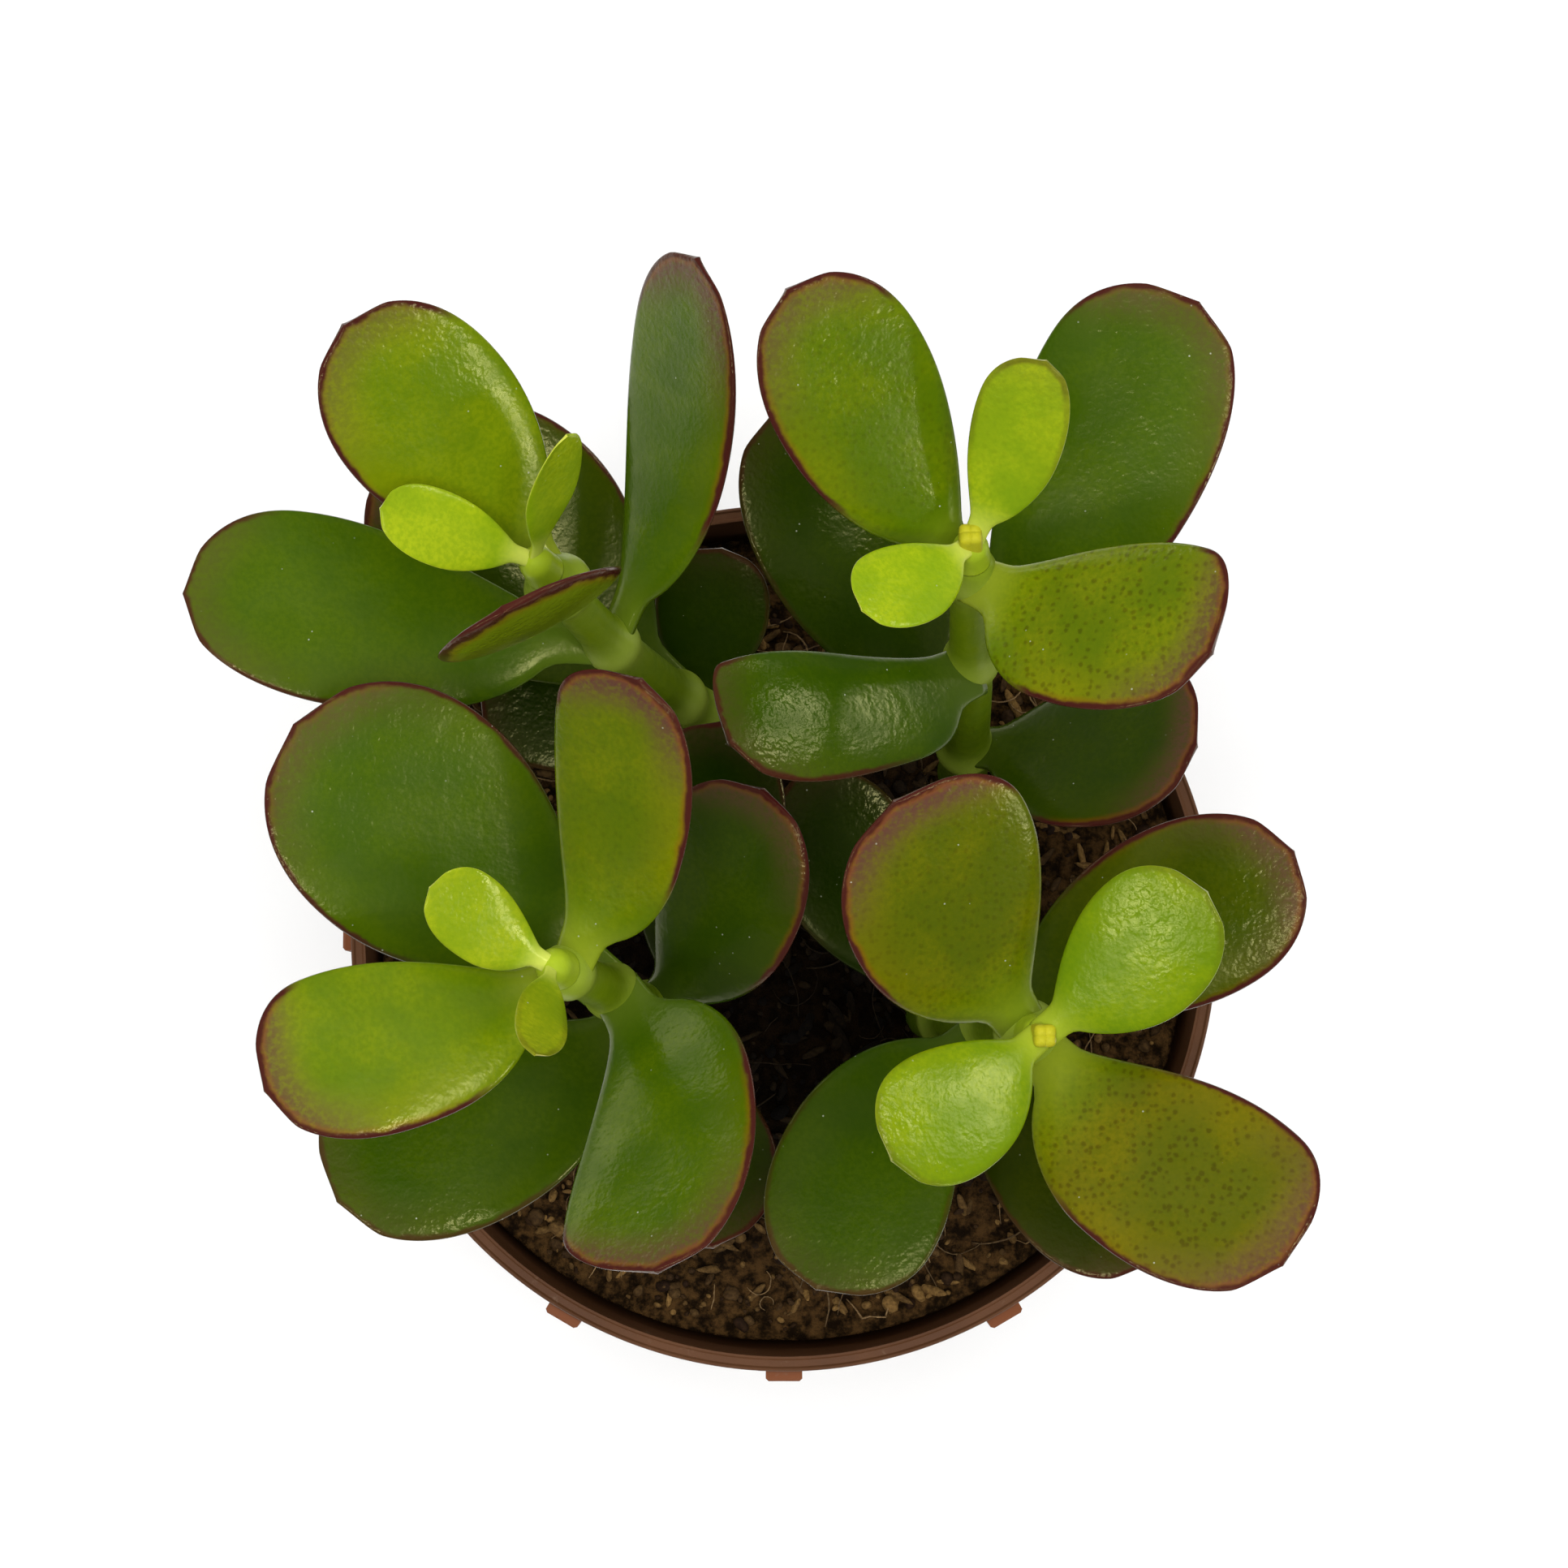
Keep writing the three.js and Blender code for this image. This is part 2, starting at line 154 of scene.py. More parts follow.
# A finer blade is this much of its solid's width and length.
WIDTH_KEPT = 0.99
LENGTH_KEPT = 0.998
# The margin waves in and out and up and down, more and more between these shares.
WAVE_FROM = 0.2
WAVE_FULL = 0.5
FLANK_WAVE = 0.025
FLANK_WAVE_RATE = 6
MARGIN_WARP = 0.2
MARGIN_WARP_RATE = 7
BULGE_POWER = 0.45
THICKNESS_SHARE = 0.15
MOST_THICKNESS = 3.0
NECK_THICKNESS = 2.4
THICK_FROM = 0.4
TIP_THINNING = 0.75
UPPER_SHARE = 0.4
CUP_SHARE = 0.03
ON_MARGIN = 1e-6

# Each cutting: the line of its stem as x, y and the height above the pot's rim, its grown
# leaves, the small leaves of its growing tip, and how far a bud stands above those.
# A leaf is its shape, then its look. The shape: the height of its root above the rim, the
# way it points seen from above, how steeply it rises, how much it curls up, its length, its
# width, its roll (left edge up), its bow to the left, and how much its left flank leans to
# the root, with angles in degrees. The look: its tone (0 deep green, 1 yellow-green, and
# deep on the low leaves partly as painted shade), how much bronze, speckle and red it has,
# and the side of the red (1 left, -1 right, 0 both).
CUTTINGS = [
    {
        "place": "back_left",
        "line": [(-6, 23, -17), (-7, 24, -4), (-12.5, 26.5, 14), (-19, 30, 33), (-25, 34.8, 52)],
        "leaves": [
            [(47.5, 131.5, 37, 10, 37, 19.5, 0, 12, 0), (0.82, 0.05, 0, 0.7, 1)],
            [(48, -109, 75, 30, 31, 20, 47, 0, 0), (0.8, 0, 0, 2.2, 0)],
            [(33, 175, 11, 0, 46.5, 21, 0, 0, 0.6), (0.35, 0, 0, 0.5, 1)],
            [(33, 74, 36, 25, 46, 18, -40, 0, -0.6), (0.42, 0, 0, 1, -1)],
            [(14, 139, 20, 0, 44, 29, 0, 0, 0), (0.3, 0.1, 0, 0.8, 0)],
            [(4, 173, 15, 0, 28, 18, 0, 0, 0), (0.18, 0, 0, 0.5, 0)],
            [(8, 80, 25, 0, 20.5, 14, 0, 0, 0), (0.12, 0, 0, 0.4, 0)],
        ],
        "tip": [
            [(54, 167, 35, 0, 18, 8, 0, 0, 0.1), (1, 0, 0, 0.15, 0)],
            [(54, 66, 52, 0, 17.5, 7, 66, 0, 0), (0.95, 0, 0, 0.12, 0)],
        ],
        "bud": 0,
    },
    {
        "place": "back_right",
        "line": [(22, 20, -17), (22, 20, -4), (21.5, 22, 10), (20.5, 28, 34), (19, 35.5, 56)],
        "leaves": [
            [(52, 128, 33, 0, 37, 18.3, 0, 0, 0.3), (0.6, 0.1, 0.4, 0.8, 1)],
            [(52, -26, 35, 0, 30, 20.3, 0, 0, -1), (0.8, 0.3, 1, 0.9, -1)],
            [(34, 57, 18, 0, 45.5, 23.5, 0, 0, -0.6), (0.3, 0, 0, 0.7, -1)],
            [(34, -156, 34, 0, 34.5, 17, 0, 0, 1.5), (0.2, 0, 0, 0.5, 1)],
            [(8, -3, 25, 0, 28.5, 24, -28, 0, -0.6), (0.35, 0, 0, 0.9, -1)],
            [(8, 122, 20, 0, 46, 21, 0, 0, 0), (0.25, 0, 0, 0.4, 0)],
        ],
        "tip": [
            [(58, 67, 44, 0, 22.5, 10, 0, 0, -0.5), (0.92, 0, 0.15, 0.35, 0)],
            [(58, -143, 36, 0, 17.5, 9.2, 0, 0, 0.4), (0.98, 0, 0, 0.1, 0)],
        ],
        "bud": 2,
    },
    {
        "place": "front_left",
        "line": [(-11, -13, -17), (-11.5, -13, -4), (-13, -11.5, 8), (-18, -8.5, 36), (-22.6, -6.6, 57)],
        "leaves": [
            [(54, 73, 34, 25, 34.5, 17, -15, 0, -1), (0.68, 0.3, 0.25, 1, -1)],
            [(54, -157.5, 15, 0, 32.3, 18.5, 0, 0, 0.7), (0.75, 0.05, 0.15, 0.9, 1)],
            [(38, 140, 15, 0, 44, 27, 0, 0, 0), (0.3, 0, 0, 0.7, 0)],
            [(38, -78, 38, 0, 37, 22, 15, -35, 1), (0.35, 0.05, 0, 0.9, 1)],
            [(22, 60, 41, 0, 35, 19.5, -15, 25, -0.3), (0.15, 0.05, 0, 0.8, -1)],
            [(22, -147.5, 15, 0, 40.5, 23, 0, 0, 0.6), (0.32, 0, 0, 0.4, 1)],
            [(6, 80, 28, 0, 39.5, 18, 0, 0, 0), (0.12, 0, 0, 0.5, 0)],
            [(6, -79, 33, 0, 30, 18, 0, 0, 0), (0.15, 0.05, 0, 0.5, 1)],
        ],
        "tip": [
            [(59, 147, 33, 0, 15.8, 8.5, 0, 0, 0.5), (1, 0.2, 0, 0.1, 0)],
            [(59, -90, 62, 0, 19, 5.6, -30, 0, 0), (1, 0.2, 0, 0.3, 0)],
        ],
        "bud": 0,
    },
    {
        "place": "front_right",
        "line": [(18, -10, -17), (18, -10, -4), (20, -11, 10), (23, -12, 26), (26, -13, 45.5)],
        "leaves": [
            [(43, 123, 32, 0, 32, 23.3, 0, 0, 0.6), (0.58, 0.5, 0.5, 1, 1)],
            [(42, -43.5, 16, 0, 35.6, 22.5, 0, 0, -0.8), (0.75, 0.72, 1, 0.9, 0)],
            [(24, 30, 21, 0, 39.8, 20.5, 0, 0, 0.3), (0.3, 0.25, 0, 0.9, 0)],
            [(24, -124, 11, 0, 35.5, 21, 0, 30, -0.4), (0.22, 0, 0, 0.4, 0)],
            [(6, 123, 10, 0, 34, 18, 0, 0, 0), (0.1, 0, 0, 0.4, 0)],
            [(6, -51, 12, 0, 37, 19, 0, 0, 0), (0.16, 0.2, 0, 0.5, 0)],
        ],
        "tip": [
            [(48, 42, 32, 0, 24.5, 15, 0, 0, -0.3), (0.7, 0, 0, 0.25, 0)],
            [(48, -142, 33, 0, 24, 14, 0, 0, 0.3), (0.75, 0, 0, 0.25, 0)],
        ],
        "bud": 2,
    },
]

# Leaf colours from deep green to yellow-green, by tone.
TONES = [0.0, 0.35, 0.6, 0.8, 1.0]
TONE_COLOURS = np.array([
    (0.020, 0.050, 0.001),
    (0.066, 0.125, 0.001),
    (0.118, 0.190, 0.001),
    (0.172, 0.250, 0.002),
    (0.275, 0.365, 0.007),
])
BRONZE = np.array((0.125, 0.088, 0.001))
# The lowest leaves are darkest, partly for their age and partly as painted shade under the
# leaves above, and leaves this high above the rim are lightest.
LOW_LEAF_LIGHT = 0.3
HIGH_LEAF_LIGHT = 0.7
LIGHTEST_HEIGHT = 40.0
YOUNG_LEAF_LIGHT = 0.95
BUD_COLOUR = np.array((0.42, 0.37, 0.01))
BRONZE_FROM = 0.08
BRONZE_FULL = 0.4

# The red of a margin, and the shares of the blade over which it builds up.
TIP_RED_FROM = 0.72
TIP_RED_FULL = 0.92
EVEN_FLANK_RED = 0.75
LEAST_FLANK_RED = 0.05
FLANK_RED_BLEND = 0.4
FLANK_RED_FROM = 0.22
FLANK_RED_FULL = 0.6

# A stem is darkest at the soil and lightest this far above it.
STEM_LIGHT_RISE = 60.0
STEM_LOW_TONE = 0.45
STEM_LOW_LIGHT = 0.7
STEM_HIGH_TONE = 0.8
STEM_HIGH_LIGHT = 0.8
FAR_FROM_MARGIN = 9.0

# ---- Looks: what a green or brown is multiplied by in places ----
FRESHER_SKIN = (1.12, 1.08, 1.1)
DEEPER_SKIN = (0.56, 0.74, 0.55)
FLUSHED_SKIN = (1.7, 1.25, 0.9)
DOTTED_SKIN = (0.7, 0.62, 0.58)
NECK_SKIN = (2.0, 1.65, 14.0)
UNDER_SKIN = (1.6, 1.3, 6.0)
UNDER_RIM_SKIN = (3.0, 2.2, 20.0)
STREAKED_SKIN = (0.7, 0.8, 0.6)
# Painted shade in the hollows of the soil's crumbs, chips and fibres.
PAINTED_GRAIN_HOLLOW_SHADE = (0.45, 0.42, 0.4)

# ---- Looks: colours of their own ----
RED_CAST = (0.085, 0.034, 0.023)
# The orange-red inside a red margin, partly painted glow of light through the thin margin.
RED_BAND_WITH_GLOW = (0.19, 0.050, 0.003)
RED_LINE = (0.045, 0.007, 0.006)
# The white of painted glints on the leaves.
PAINTED_GLINT_DOT = (0.5, 0.52, 0.42)
COLLAR_COLOUR = (0.27, 0.34, 0.04)
POT_DARK = (0.078, 0.031, 0.012)
POT_LIGHT = (0.104, 0.043, 0.018)
# Painted glow of light through the thin plastic of the lugs.
LUG_PAINTED_GLOW = (0.17, 0.052, 0.016)
SCUFF_COLOUR = (0.18, 0.11, 0.07)
EARTH_DARK = (0.006, 0.003, 0.001)
EARTH_LIGHT = (0.060, 0.030, 0.009)
# The near black of soil in the deepest painted shade.
EARTH_SHADED = (0.002, 0.001, 0.0005)
FLOOR_DARK = (0.90, 0.90, 0.895)
FLOOR_LIGHT = (0.92, 0.92, 0.915)
LEAF_SHEEN = (1.0, 0.94, 0.42)
STEM_SHEEN = (1.0, 0.92, 0.35)

# ---- Camera and light ----
CAMERA_PLACE = (0.0, -16.6, 420.2)
CAMERA_ELEVATION = 84.0
CAMERA_LENS = 62.24
CAMERA_SENSOR = 36
CAMERA_CLIP = 0.01
FLOOR_SIZE = 12
WORLD_STRENGTH = 0.2
LIGHT_TARGET = (0, 0, 110)
# Each softbox: its azimuth and elevation in degrees, its distance, width and height in
# metres, its radiance, and whether the leaves mirror it.
SOFTBOXES = [
    ("key_softbox", 33, 24, 0.9, 0.14, 0.1, 11.0, True),
    ("left_softbox", -134, 42, 0.9, 0.12, 0.1, 16.0, True),
    ("front_softbox", -27, 30, 0.9, 0.09, 0.12, 24.0, True),
    ("low_softbox", 136, 6, 0.9, 0.6, 0.2, 1.8, True),
    ("upper_softbox", -109, 65, 0.9, 0.1, 0.1, 20.0, True),
    ("high_softbox", -18, 66, 0.9, 0.1, 0.1, 20.0, True),
    ("top_fill", -90, 84, 0.9, 1.0, 0.8, 4.0, False),
    ("back_fill", 95, 50, 0.9, 0.8, 0.5, 2.5, False),
]


# ==== Making meshes ====


class Skin:
    """Closed shells gathered into one piece, with named values at their points."""

    def __init__(self):
        self.points = []
        self.faces = []
        self.slots = []
        self.values = {}
        self.count = 0

    def add(self, points, faces, slot=0, **values):
        """Add a shell, its material's number, and its values."""
        self.points.append(points)
        self.faces += [tuple(corner + self.count for corner in face) for face in faces]
        self.slots += [slot] * len(faces)
        for name, value in values.items():
            self.values.setdefault(name, []).append(value)
        self.count += len(points)

    def piece(self, name, materials):
        """An object of all the shells, linked into the scene."""
        mesh = bpy.data.meshes.new(name)
        points = np.concatenate(self.points) * MM
        mesh.from_pydata(points.tolist(), [], self.faces)
        for value_name, parts in self.values.items():
            value = np.concatenate(parts).astype(np.float32)
            if value.ndim == 2:
                attribute = mesh.attributes.new(value_name, "FLOAT_COLOR", "POINT")
                value = np.column_stack([value, np.ones(len(value), np.float32)])
                attribute.data.foreach_set("color", value.ravel())
            else:
                attribute = mesh.attributes.new(value_name, "FLOAT", "POINT")
                attribute.data.foreach_set("value", value)
        for material in materials:
            mesh.materials.append(material)
        mesh.polygons.foreach_set("material_index", self.slots)
        mesh.shade_smooth()
        mesh.update()
        piece = bpy.data.objects.new(name, mesh)
        bpy.context.scene.collection.objects.link(piece)
        return piece


def loft_faces(rings, sides):
    """The faces of a closed skin: a start point, rings of points, and an end point."""
    faces = []
    last = rings * sides + 1
    for side in range(sides):
        turn = (side + 1) % sides
        faces.append((0, 1 + turn, 1 + side))
        for ring in range(rings - 1):
            low = 1 + ring * sides
            high = low + sides
            faces.append((low + side, low + turn, high + turn, high + side))
        top = last - sides
        faces.append((top + side, top + turn, last))
    return faces


def unit(vector):
    return vector / np.linalg.norm(vector)


def turned_about(vector, axis, angle):
    """A vector turned about a unit axis, by the right-hand rule."""
    across = np.cross(axis, vector)
    along = axis * np.dot(axis, vector)
    return vector * math.cos(angle) + across * math.sin(angle) + along * (1 - math.cos(angle))


def smoothstep(value, low, high):
    """A smooth rise from 0 to 1, as value goes from low to high."""
    share = np.clip((value - low) / (high - low), 0, 1)
    return share * share * (3 - 2 * share)


# ==== Leaves ====


def outline(along, lean):
    """One flank's reach along a blade, as a share of its widest, ending in a blunt corner."""
    widest = WIDEST_AT - LEAN_SHIFT * lean
    past = along - NECK_LENGTH
    past = (past + np.hypot(past, NECK_BLEND)) / 2 / (widest - NECK_LENGTH)
    past = np.minimum(past, 1)
    power = SPREAD_POWER * (1 - LEAN_SPREAD * lean)
    lower = NECK_SHARE + (1 - NECK_SHARE) * np.sin(np.pi / 2 * past) ** power
    beyond = np.clip((along - widest) / (1 - widest), 0, 1)
    rounded = np.sqrt(1 - np.minimum(beyond, CORNER_FROM) ** TIP_POWER)
    start = math.sqrt(1 - CORNER_FROM ** TIP_POWER)
    slope = -TIP_POWER * CORNER_FROM ** (TIP_POWER - 1) / (2 * start)
    reach = 1 - CORNER_FROM
    part = np.clip((beyond - CORNER_FROM) / reach, 0, 1)
    corner = start * (2 * part ** 3 - 3 * part ** 2 + 1)
    corner += reach * slope * (part ** 3 - 2 * part ** 2 + part)
    corner += reach * CORNER_SLOPE * (part ** 3 - part ** 2)
    upper = np.where(beyond < CORNER_FROM, rounded, corner)
    return np.where(along < widest, lower, upper)


def thickness(along, width):
    """How thick a blade is in its middle: slim at the neck, thinner again to the tip."""
    full = min(THICKNESS_SHARE * width, MOST_THICKNESS)
    neck = min(NECK_THICKNESS, full)
    middle = neck + (full - neck) * np.clip(along / THICK_FROM, 0, 1)
    return middle * (1 - TIP_THINNING * along ** 3)


def leaf_frame(turn, rise, roll):
    """The way a leaf sets out: forward, to its left edge, and out of its upper side."""
    turn, rise, roll = np.radians([turn, rise, roll])
    forward = np.array([
        math.cos(rise) * math.cos(turn),
        math.cos(rise) * math.sin(turn),
        math.sin(rise),
    ])
    left = np.array([-math.sin(turn), math.cos(turn), 0.0])
    left = turned_about(left, forward, roll)
    return forward, left, np.cross(forward, left)


def turn_frame(start, bend, sweep):
    """The same frame turned up by one angle and to the left by another."""
    forward, left, up = start
    left = turned_about(left, up, sweep)
    forward = turned_about(turned_about(forward, up, sweep), left, -bend)
    return forward, left, turned_about(up, left, -bend)


def leaf_spine(root, shape, stations):
    """The points and frames of a leaf's middle line."""
    _, turn, rise, curl, length, _, roll, bow, _ = shape
    length = length * LENGTH_KEPT
    start = leaf_frame(turn, rise, roll)

    def frame_at(along):
        past_middle = along - 0.5
        return turn_frame(start, math.radians(curl) * past_middle, math.radians(bow) * past_middle)

    point = root.copy()
    points = []
    frames = []
    before = 0.0
    for along in stations:
        point = point + frame_at((along + before) / 2)[0] * length * (along - before)
        points.append(point)
        frames.append(frame_at(along))
        before = along
    return np.array(points), np.array(frames)


def tone_colour(tone):
    """The green of a tone, between deep green at 0 and yellow-green at 1."""
    return np.array([np.interp(tone, TONES, TONE_COLOURS[:, channel]) for channel in range(3)])


def leaf_lightness_with_painted_shade(height):
    """How light a leaf is, by the height of its root above the rim: partly age, partly painted shade."""
    share = smoothstep(height, 0, LIGHTEST_HEIGHT)
    return LOW_LEAF_LIGHT + (HIGH_LEAF_LIGHT - LOW_LEAF_LIGHT) * share


def rim_distance(flat, edge):
    """How far each flat point of a blade lies from the nearest point of its margin."""
    gaps = flat[:, None, :] - edge[None, :, :]
    return np.sqrt((gaps ** 2).sum(axis=2).min(axis=1))


def red_share(along, across, red, side):
    """How red a place of the margin is: most at the tip, and along its redder side."""
    tip = smoothstep(along, TIP_RED_FROM, TIP_RED_FULL)
    if side == 0:
        flank = np.full(np.broadcast(along, across).shape, EVEN_FLANK_RED)
    else:
        flank = smoothstep(side * across, -FLANK_RED_BLEND, FLANK_RED_BLEND)
        flank = flank * (1 - LEAST_FLANK_RED) + LEAST_FLANK_RED
    return red * np.maximum(tip, flank) * smoothstep(along, FLANK_RED_FROM, FLANK_RED_FULL)


def leaf_flanks(stations, width, lean, starts):
    """The reach of a blade's left and right flanks, each with a soft wave in its margin."""
    spread = smoothstep(stations, WAVE_FROM, WAVE_FULL)
    flanks = []
    for flank_lean, start in zip((lean, -lean), starts):
        wave = 0.5 + 0.5 * np.sin(FLANK_WAVE_RATE * stations + start)
        ripple = 1 - FLANK_WAVE * wave * spread
        flanks.append(width / 2 * WIDTH_KEPT * outline(stations, flank_lean) * ripple)
    return flanks


def leaf_rise(stations, width, half, across, above, start):
    """How far a blade's skin lies above its middle line: a lens, cupped and a little warped."""
    bulge = (1 - across ** 2) ** BULGE_POWER
    section = np.where(above, UPPER_SHARE * bulge, (UPPER_SHARE - 1) * bulge)
    thick = thickness(stations, width)
    rise = thick[:, None] * section[None, :] + CUP_SHARE * half * across[None, :] ** 2
    spread = smoothstep(stations, WAVE_FROM, WAVE_FULL)
    warp = MARGIN_WARP * np.sin(MARGIN_WARP_RATE * stations + start) * spread
    return rise + warp[:, None] * across[None, :] ** 3


def leaf_rim(stations, length, flanks, flat_x):
    """How far each point of a blade lies from its margin, as if the blade lay flat."""
    flat = np.column_stack([np.repeat(stations * length, LEAF_SIDES), flat_x.ravel()])
    flat = np.concatenate([[[0, 0]], flat, [[length, 0]]])
    edge_left = np.column_stack([stations * length, flanks[0]])[MARGIN_RING:]
    edge_right = np.column_stack([stations * length, -flanks[1]])[MARGIN_RING:]
    return rim_distance(flat, np.concatenate([edge_left, [[length, 0]], edge_right[::-1]]))


def leaf_tint(along, tone, bronze, light):
    """A blade's green, turning to bronze from the neck on."""
    bronzed = bronze * smoothstep(along, BRONZE_FROM, BRONZE_FULL)[:, None]
    return (tone_colour(tone) * (1 - bronzed) + BRONZE * bronzed) * light


def add_leaf(skin, root, shape, look, light, rng):
    """One fleshy leaf: a rounded lens across, with a narrow neck and a blunt corner."""
    length, width, lean = shape[4], shape[5], shape[8]
    tone, bronze, speckle, red, side = look
    starts = rng.uniform(0, 2 * np.pi, 3)
    stations = 1 - (1 - np.linspace(0, 1, LEAF_RINGS + 1)[:-1]) ** RING_GATHER
    spine, frames = leaf_spine(root, shape, [*stations, 1.0])
    angle = 2 * np.pi * np.arange(LEAF_SIDES) / LEAF_SIDES
    across = np.cos(angle)
    above = np.sin(angle) > ON_MARGIN
    below = np.sin(angle) < -ON_MARGIN

    flanks = leaf_flanks(stations, width, lean, starts[:2])
    half = np.where(across[None, :] > 0, flanks[0][:, None], flanks[1][:, None])
    flat_x = half * across[None, :]
    rise = leaf_rise(stations, width, half, across, above, starts[2])
    left = frames[:-1, 1][:, None, :]
    up = frames[:-1, 2][:, None, :]
    rings = spine[:-1, None, :] + flat_x[:, :, None] * left + rise[:, :, None] * up
    points = np.concatenate([[root], rings.reshape(-1, 3), [spine[-1]]])

    along = np.concatenate([[0], np.repeat(stations, LEAF_SIDES), [1]])
    face = np.where(above, 1.0, np.where(below, 0.0, 0.5))
    reds = red_share(stations[:, None], across[None, :], red, side)
    skin.add(
        points,
        loft_faces(LEAF_RINGS, LEAF_SIDES),
        along=along,
        rim=leaf_rim(stations, length, flanks, flat_x),
        face=np.concatenate([[1], np.tile(face, LEAF_RINGS), [0.5]]),
        red=np.concatenate([[0], reds.ravel(), [red]]),
        tint=leaf_tint(along, tone, bronze, light),
        speckle=np.full(len(points), speckle),
    )


# ==== Stems ====


def stem_points(line, shares):
    """Points of the smooth line through a stem's places, at shares of the way along it."""
    places = np.array(line, float) + (0, 0, POT_HEIGHT)
    before = 2 * places[0] - places[1]
    after = 2 * places[-1] - places[-2]
    places = np.concatenate([[before], places, [after]])
    last = len(places) - 4
    found = []
    for share in shares:
        step = min(int(share * (last + 1)), last)
        part = share * (last + 1) - step
        p0, p1, p2, p3 = places[step:step + 4]
        t0, t1, t2 = (np.sqrt(np.linalg.norm(b - a)) for a, b in ((p0, p1), (p1, p2), (p2, p3)))
        start = t1 * ((p1 - p0) / t0 - (p2 - p0) / (t0 + t1) + (p2 - p1) / t1)
        end = t1 * ((p2 - p1) / t1 - (p3 - p1) / (t1 + t2) + (p3 - p2) / t2)
        square = 3 * (p2 - p1) - 2 * start - end
        cube = 2 * (p1 - p2) + start + end
        found.append(p1 + start * part + square * part ** 2 + cube * part ** 3)
    return np.array(found)


def tangents(points):
    """The way of a line at each of its points."""
    ways = np.gradient(points, axis=0)
    return ways / np.linalg.norm(ways, axis=1)[:, None]


def square_ways(way):
    """Two ways square to a way and to each other, the first as near to x as can be."""
    side = unit(np.array([1.0, 0, 0]) - way * way[0])
    return side, np.cross(way, side)


def circle_rings(centres, ways, radii, sides):
    """Rings of points round a line, square to it."""
    angle = 2 * np.pi * np.arange(sides) / sides
    rings = []
    for centre, way, radius in zip(centres, ways, radii):
        side, other = square_ways(way)
        radius = np.broadcast_to(radius, sides)
        sideways = np.outer(radius * np.cos(angle), side)
        rings.append(centre + sideways + np.outer(radius * np.sin(angle), other))
    return np.array(rings)


def bare_values(count):
    """What a stem's points hold for the values that only leaves use."""
    return {
        "rim": np.full(count, FAR_FROM_MARGIN),
        "face": np.ones(count),
        "speckle": np.zeros(count),
        "red": np.zeros(count),
    }


def stem_tint(points):
    """A stem's green, lighter the higher a point stands above the soil."""
    height = np.clip((points[:, 2] - SOIL_TOP) / STEM_LIGHT_RISE, 0, 1)
    low = tone_colour(STEM_LOW_TONE) * STEM_LOW_LIGHT
    high = tone_colour(STEM_HIGH_TONE) * STEM_HIGH_LIGHT
    return low + (high - low) * height[:, None]


def add_stem(skin, line, leaves):
    """A tapered stem that swells where its leaves stand and rounds off at its top."""
    shares = np.linspace(0, 1, STEM_RINGS)
    centres = stem_points(line, shares)
    radii = FOOT_RADIUS + (STEM_TOP_RADIUS - FOOT_RADIUS) * shares
    collar = np.zeros(STEM_RINGS)
    for height in sorted({shape[0] for shape, _ in leaves}):
        gap = centres[:, 2] - POT_HEIGHT - height
        radii = radii + NODE_SWELL * np.exp(-(gap / NODE_SPREAD) ** 2)
        collar = np.maximum(collar, np.exp(-(gap / COLLAR_SPREAD) ** 2))
    from_end = np.linalg.norm(centres - centres[-1], axis=1)
    drawn = (1 - np.clip(from_end / STEM_END_ROUND, 0, 1)) ** 2
    radii = radii * np.sqrt(1 - STEM_END_DRAW * drawn)
    rings = circle_rings(centres, tangents(centres), radii, STEM_SIDES)
    points = np.concatenate([[centres[0]], rings.reshape(-1, 3), [centres[-1]]])
    skin.add(
        points,
        loft_faces(STEM_RINGS, STEM_SIDES),
        slot=1,
        along=np.concatenate([[0], np.repeat(collar, STEM_SIDES), [collar[-1]]]),
        tint=stem_tint(points),
        **bare_values(len(points)),
    )


def height_point(line, height):
    """The point of a stem's middle line at a height above the rim."""
    points = stem_points(line, np.linspace(0, 1, HEIGHT_SEARCH_STEPS))
    return points[np.argmin(abs(points[:, 2] - POT_HEIGHT - height))]


def build_cutting(cutting, leaf, stem, rng):
    """A cutting's stem with its grown leaves, as one piece."""
    skin = Skin()
    add_stem(skin, cutting["line"], cutting["leaves"])
    for shape, look in cutting["leaves"]:
        root = height_point(cutting["line"], shape[0])
        # Lower leaves are darker, partly for their age and partly as painted shade.
        add_leaf(skin, root, shape, look, leaf_lightness_with_painted_shade(shape[0]), rng)
    piece = skin.piece(f"cutting_{cutting['place']}", [leaf, stem])
    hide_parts(f"leafy_stem_{cutting['place']}")
    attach(piece, "root")


def add_stalk(skin, start, end, radii, squareness, colour):
    """A short upright stalk with a domed end, round or squarish across."""
    shares = np.linspace(0, 1, STALK_RINGS)
    centres = start + np.outer(shares, end - start)
    angle = 2 * np.pi * np.arange(STEM_SIDES) / STEM_SIDES
    power = 2 + 4 * squareness
    section = (abs(np.cos(angle)) ** power + abs(np.sin(angle)) ** power) ** (-1 / power)
    from_end = np.linalg.norm(end - start) * (1 - shares)
    dome = np.sqrt(1 - STALK_END_DRAW * (1 - np.clip(from_end / radii[1], 0, 1)) ** 2)
    spans = (radii[0] + (radii[1] - radii[0]) * shares) * dome
    ways = [unit(end - start)] * STALK_RINGS
    rings = circle_rings(centres, ways, np.outer(spans, section), STEM_SIDES)
    points = np.concatenate([[start], rings.reshape(-1, 3), [end]])
    count = len(points)
    skin.add(
        points,
        loft_faces(STALK_RINGS, STEM_SIDES),
        slot=1,
        along=np.full(count, 0.3 * (1 - squareness)),
        tint=np.tile(colour, (count, 1)),
        **bare_values(count),
    )


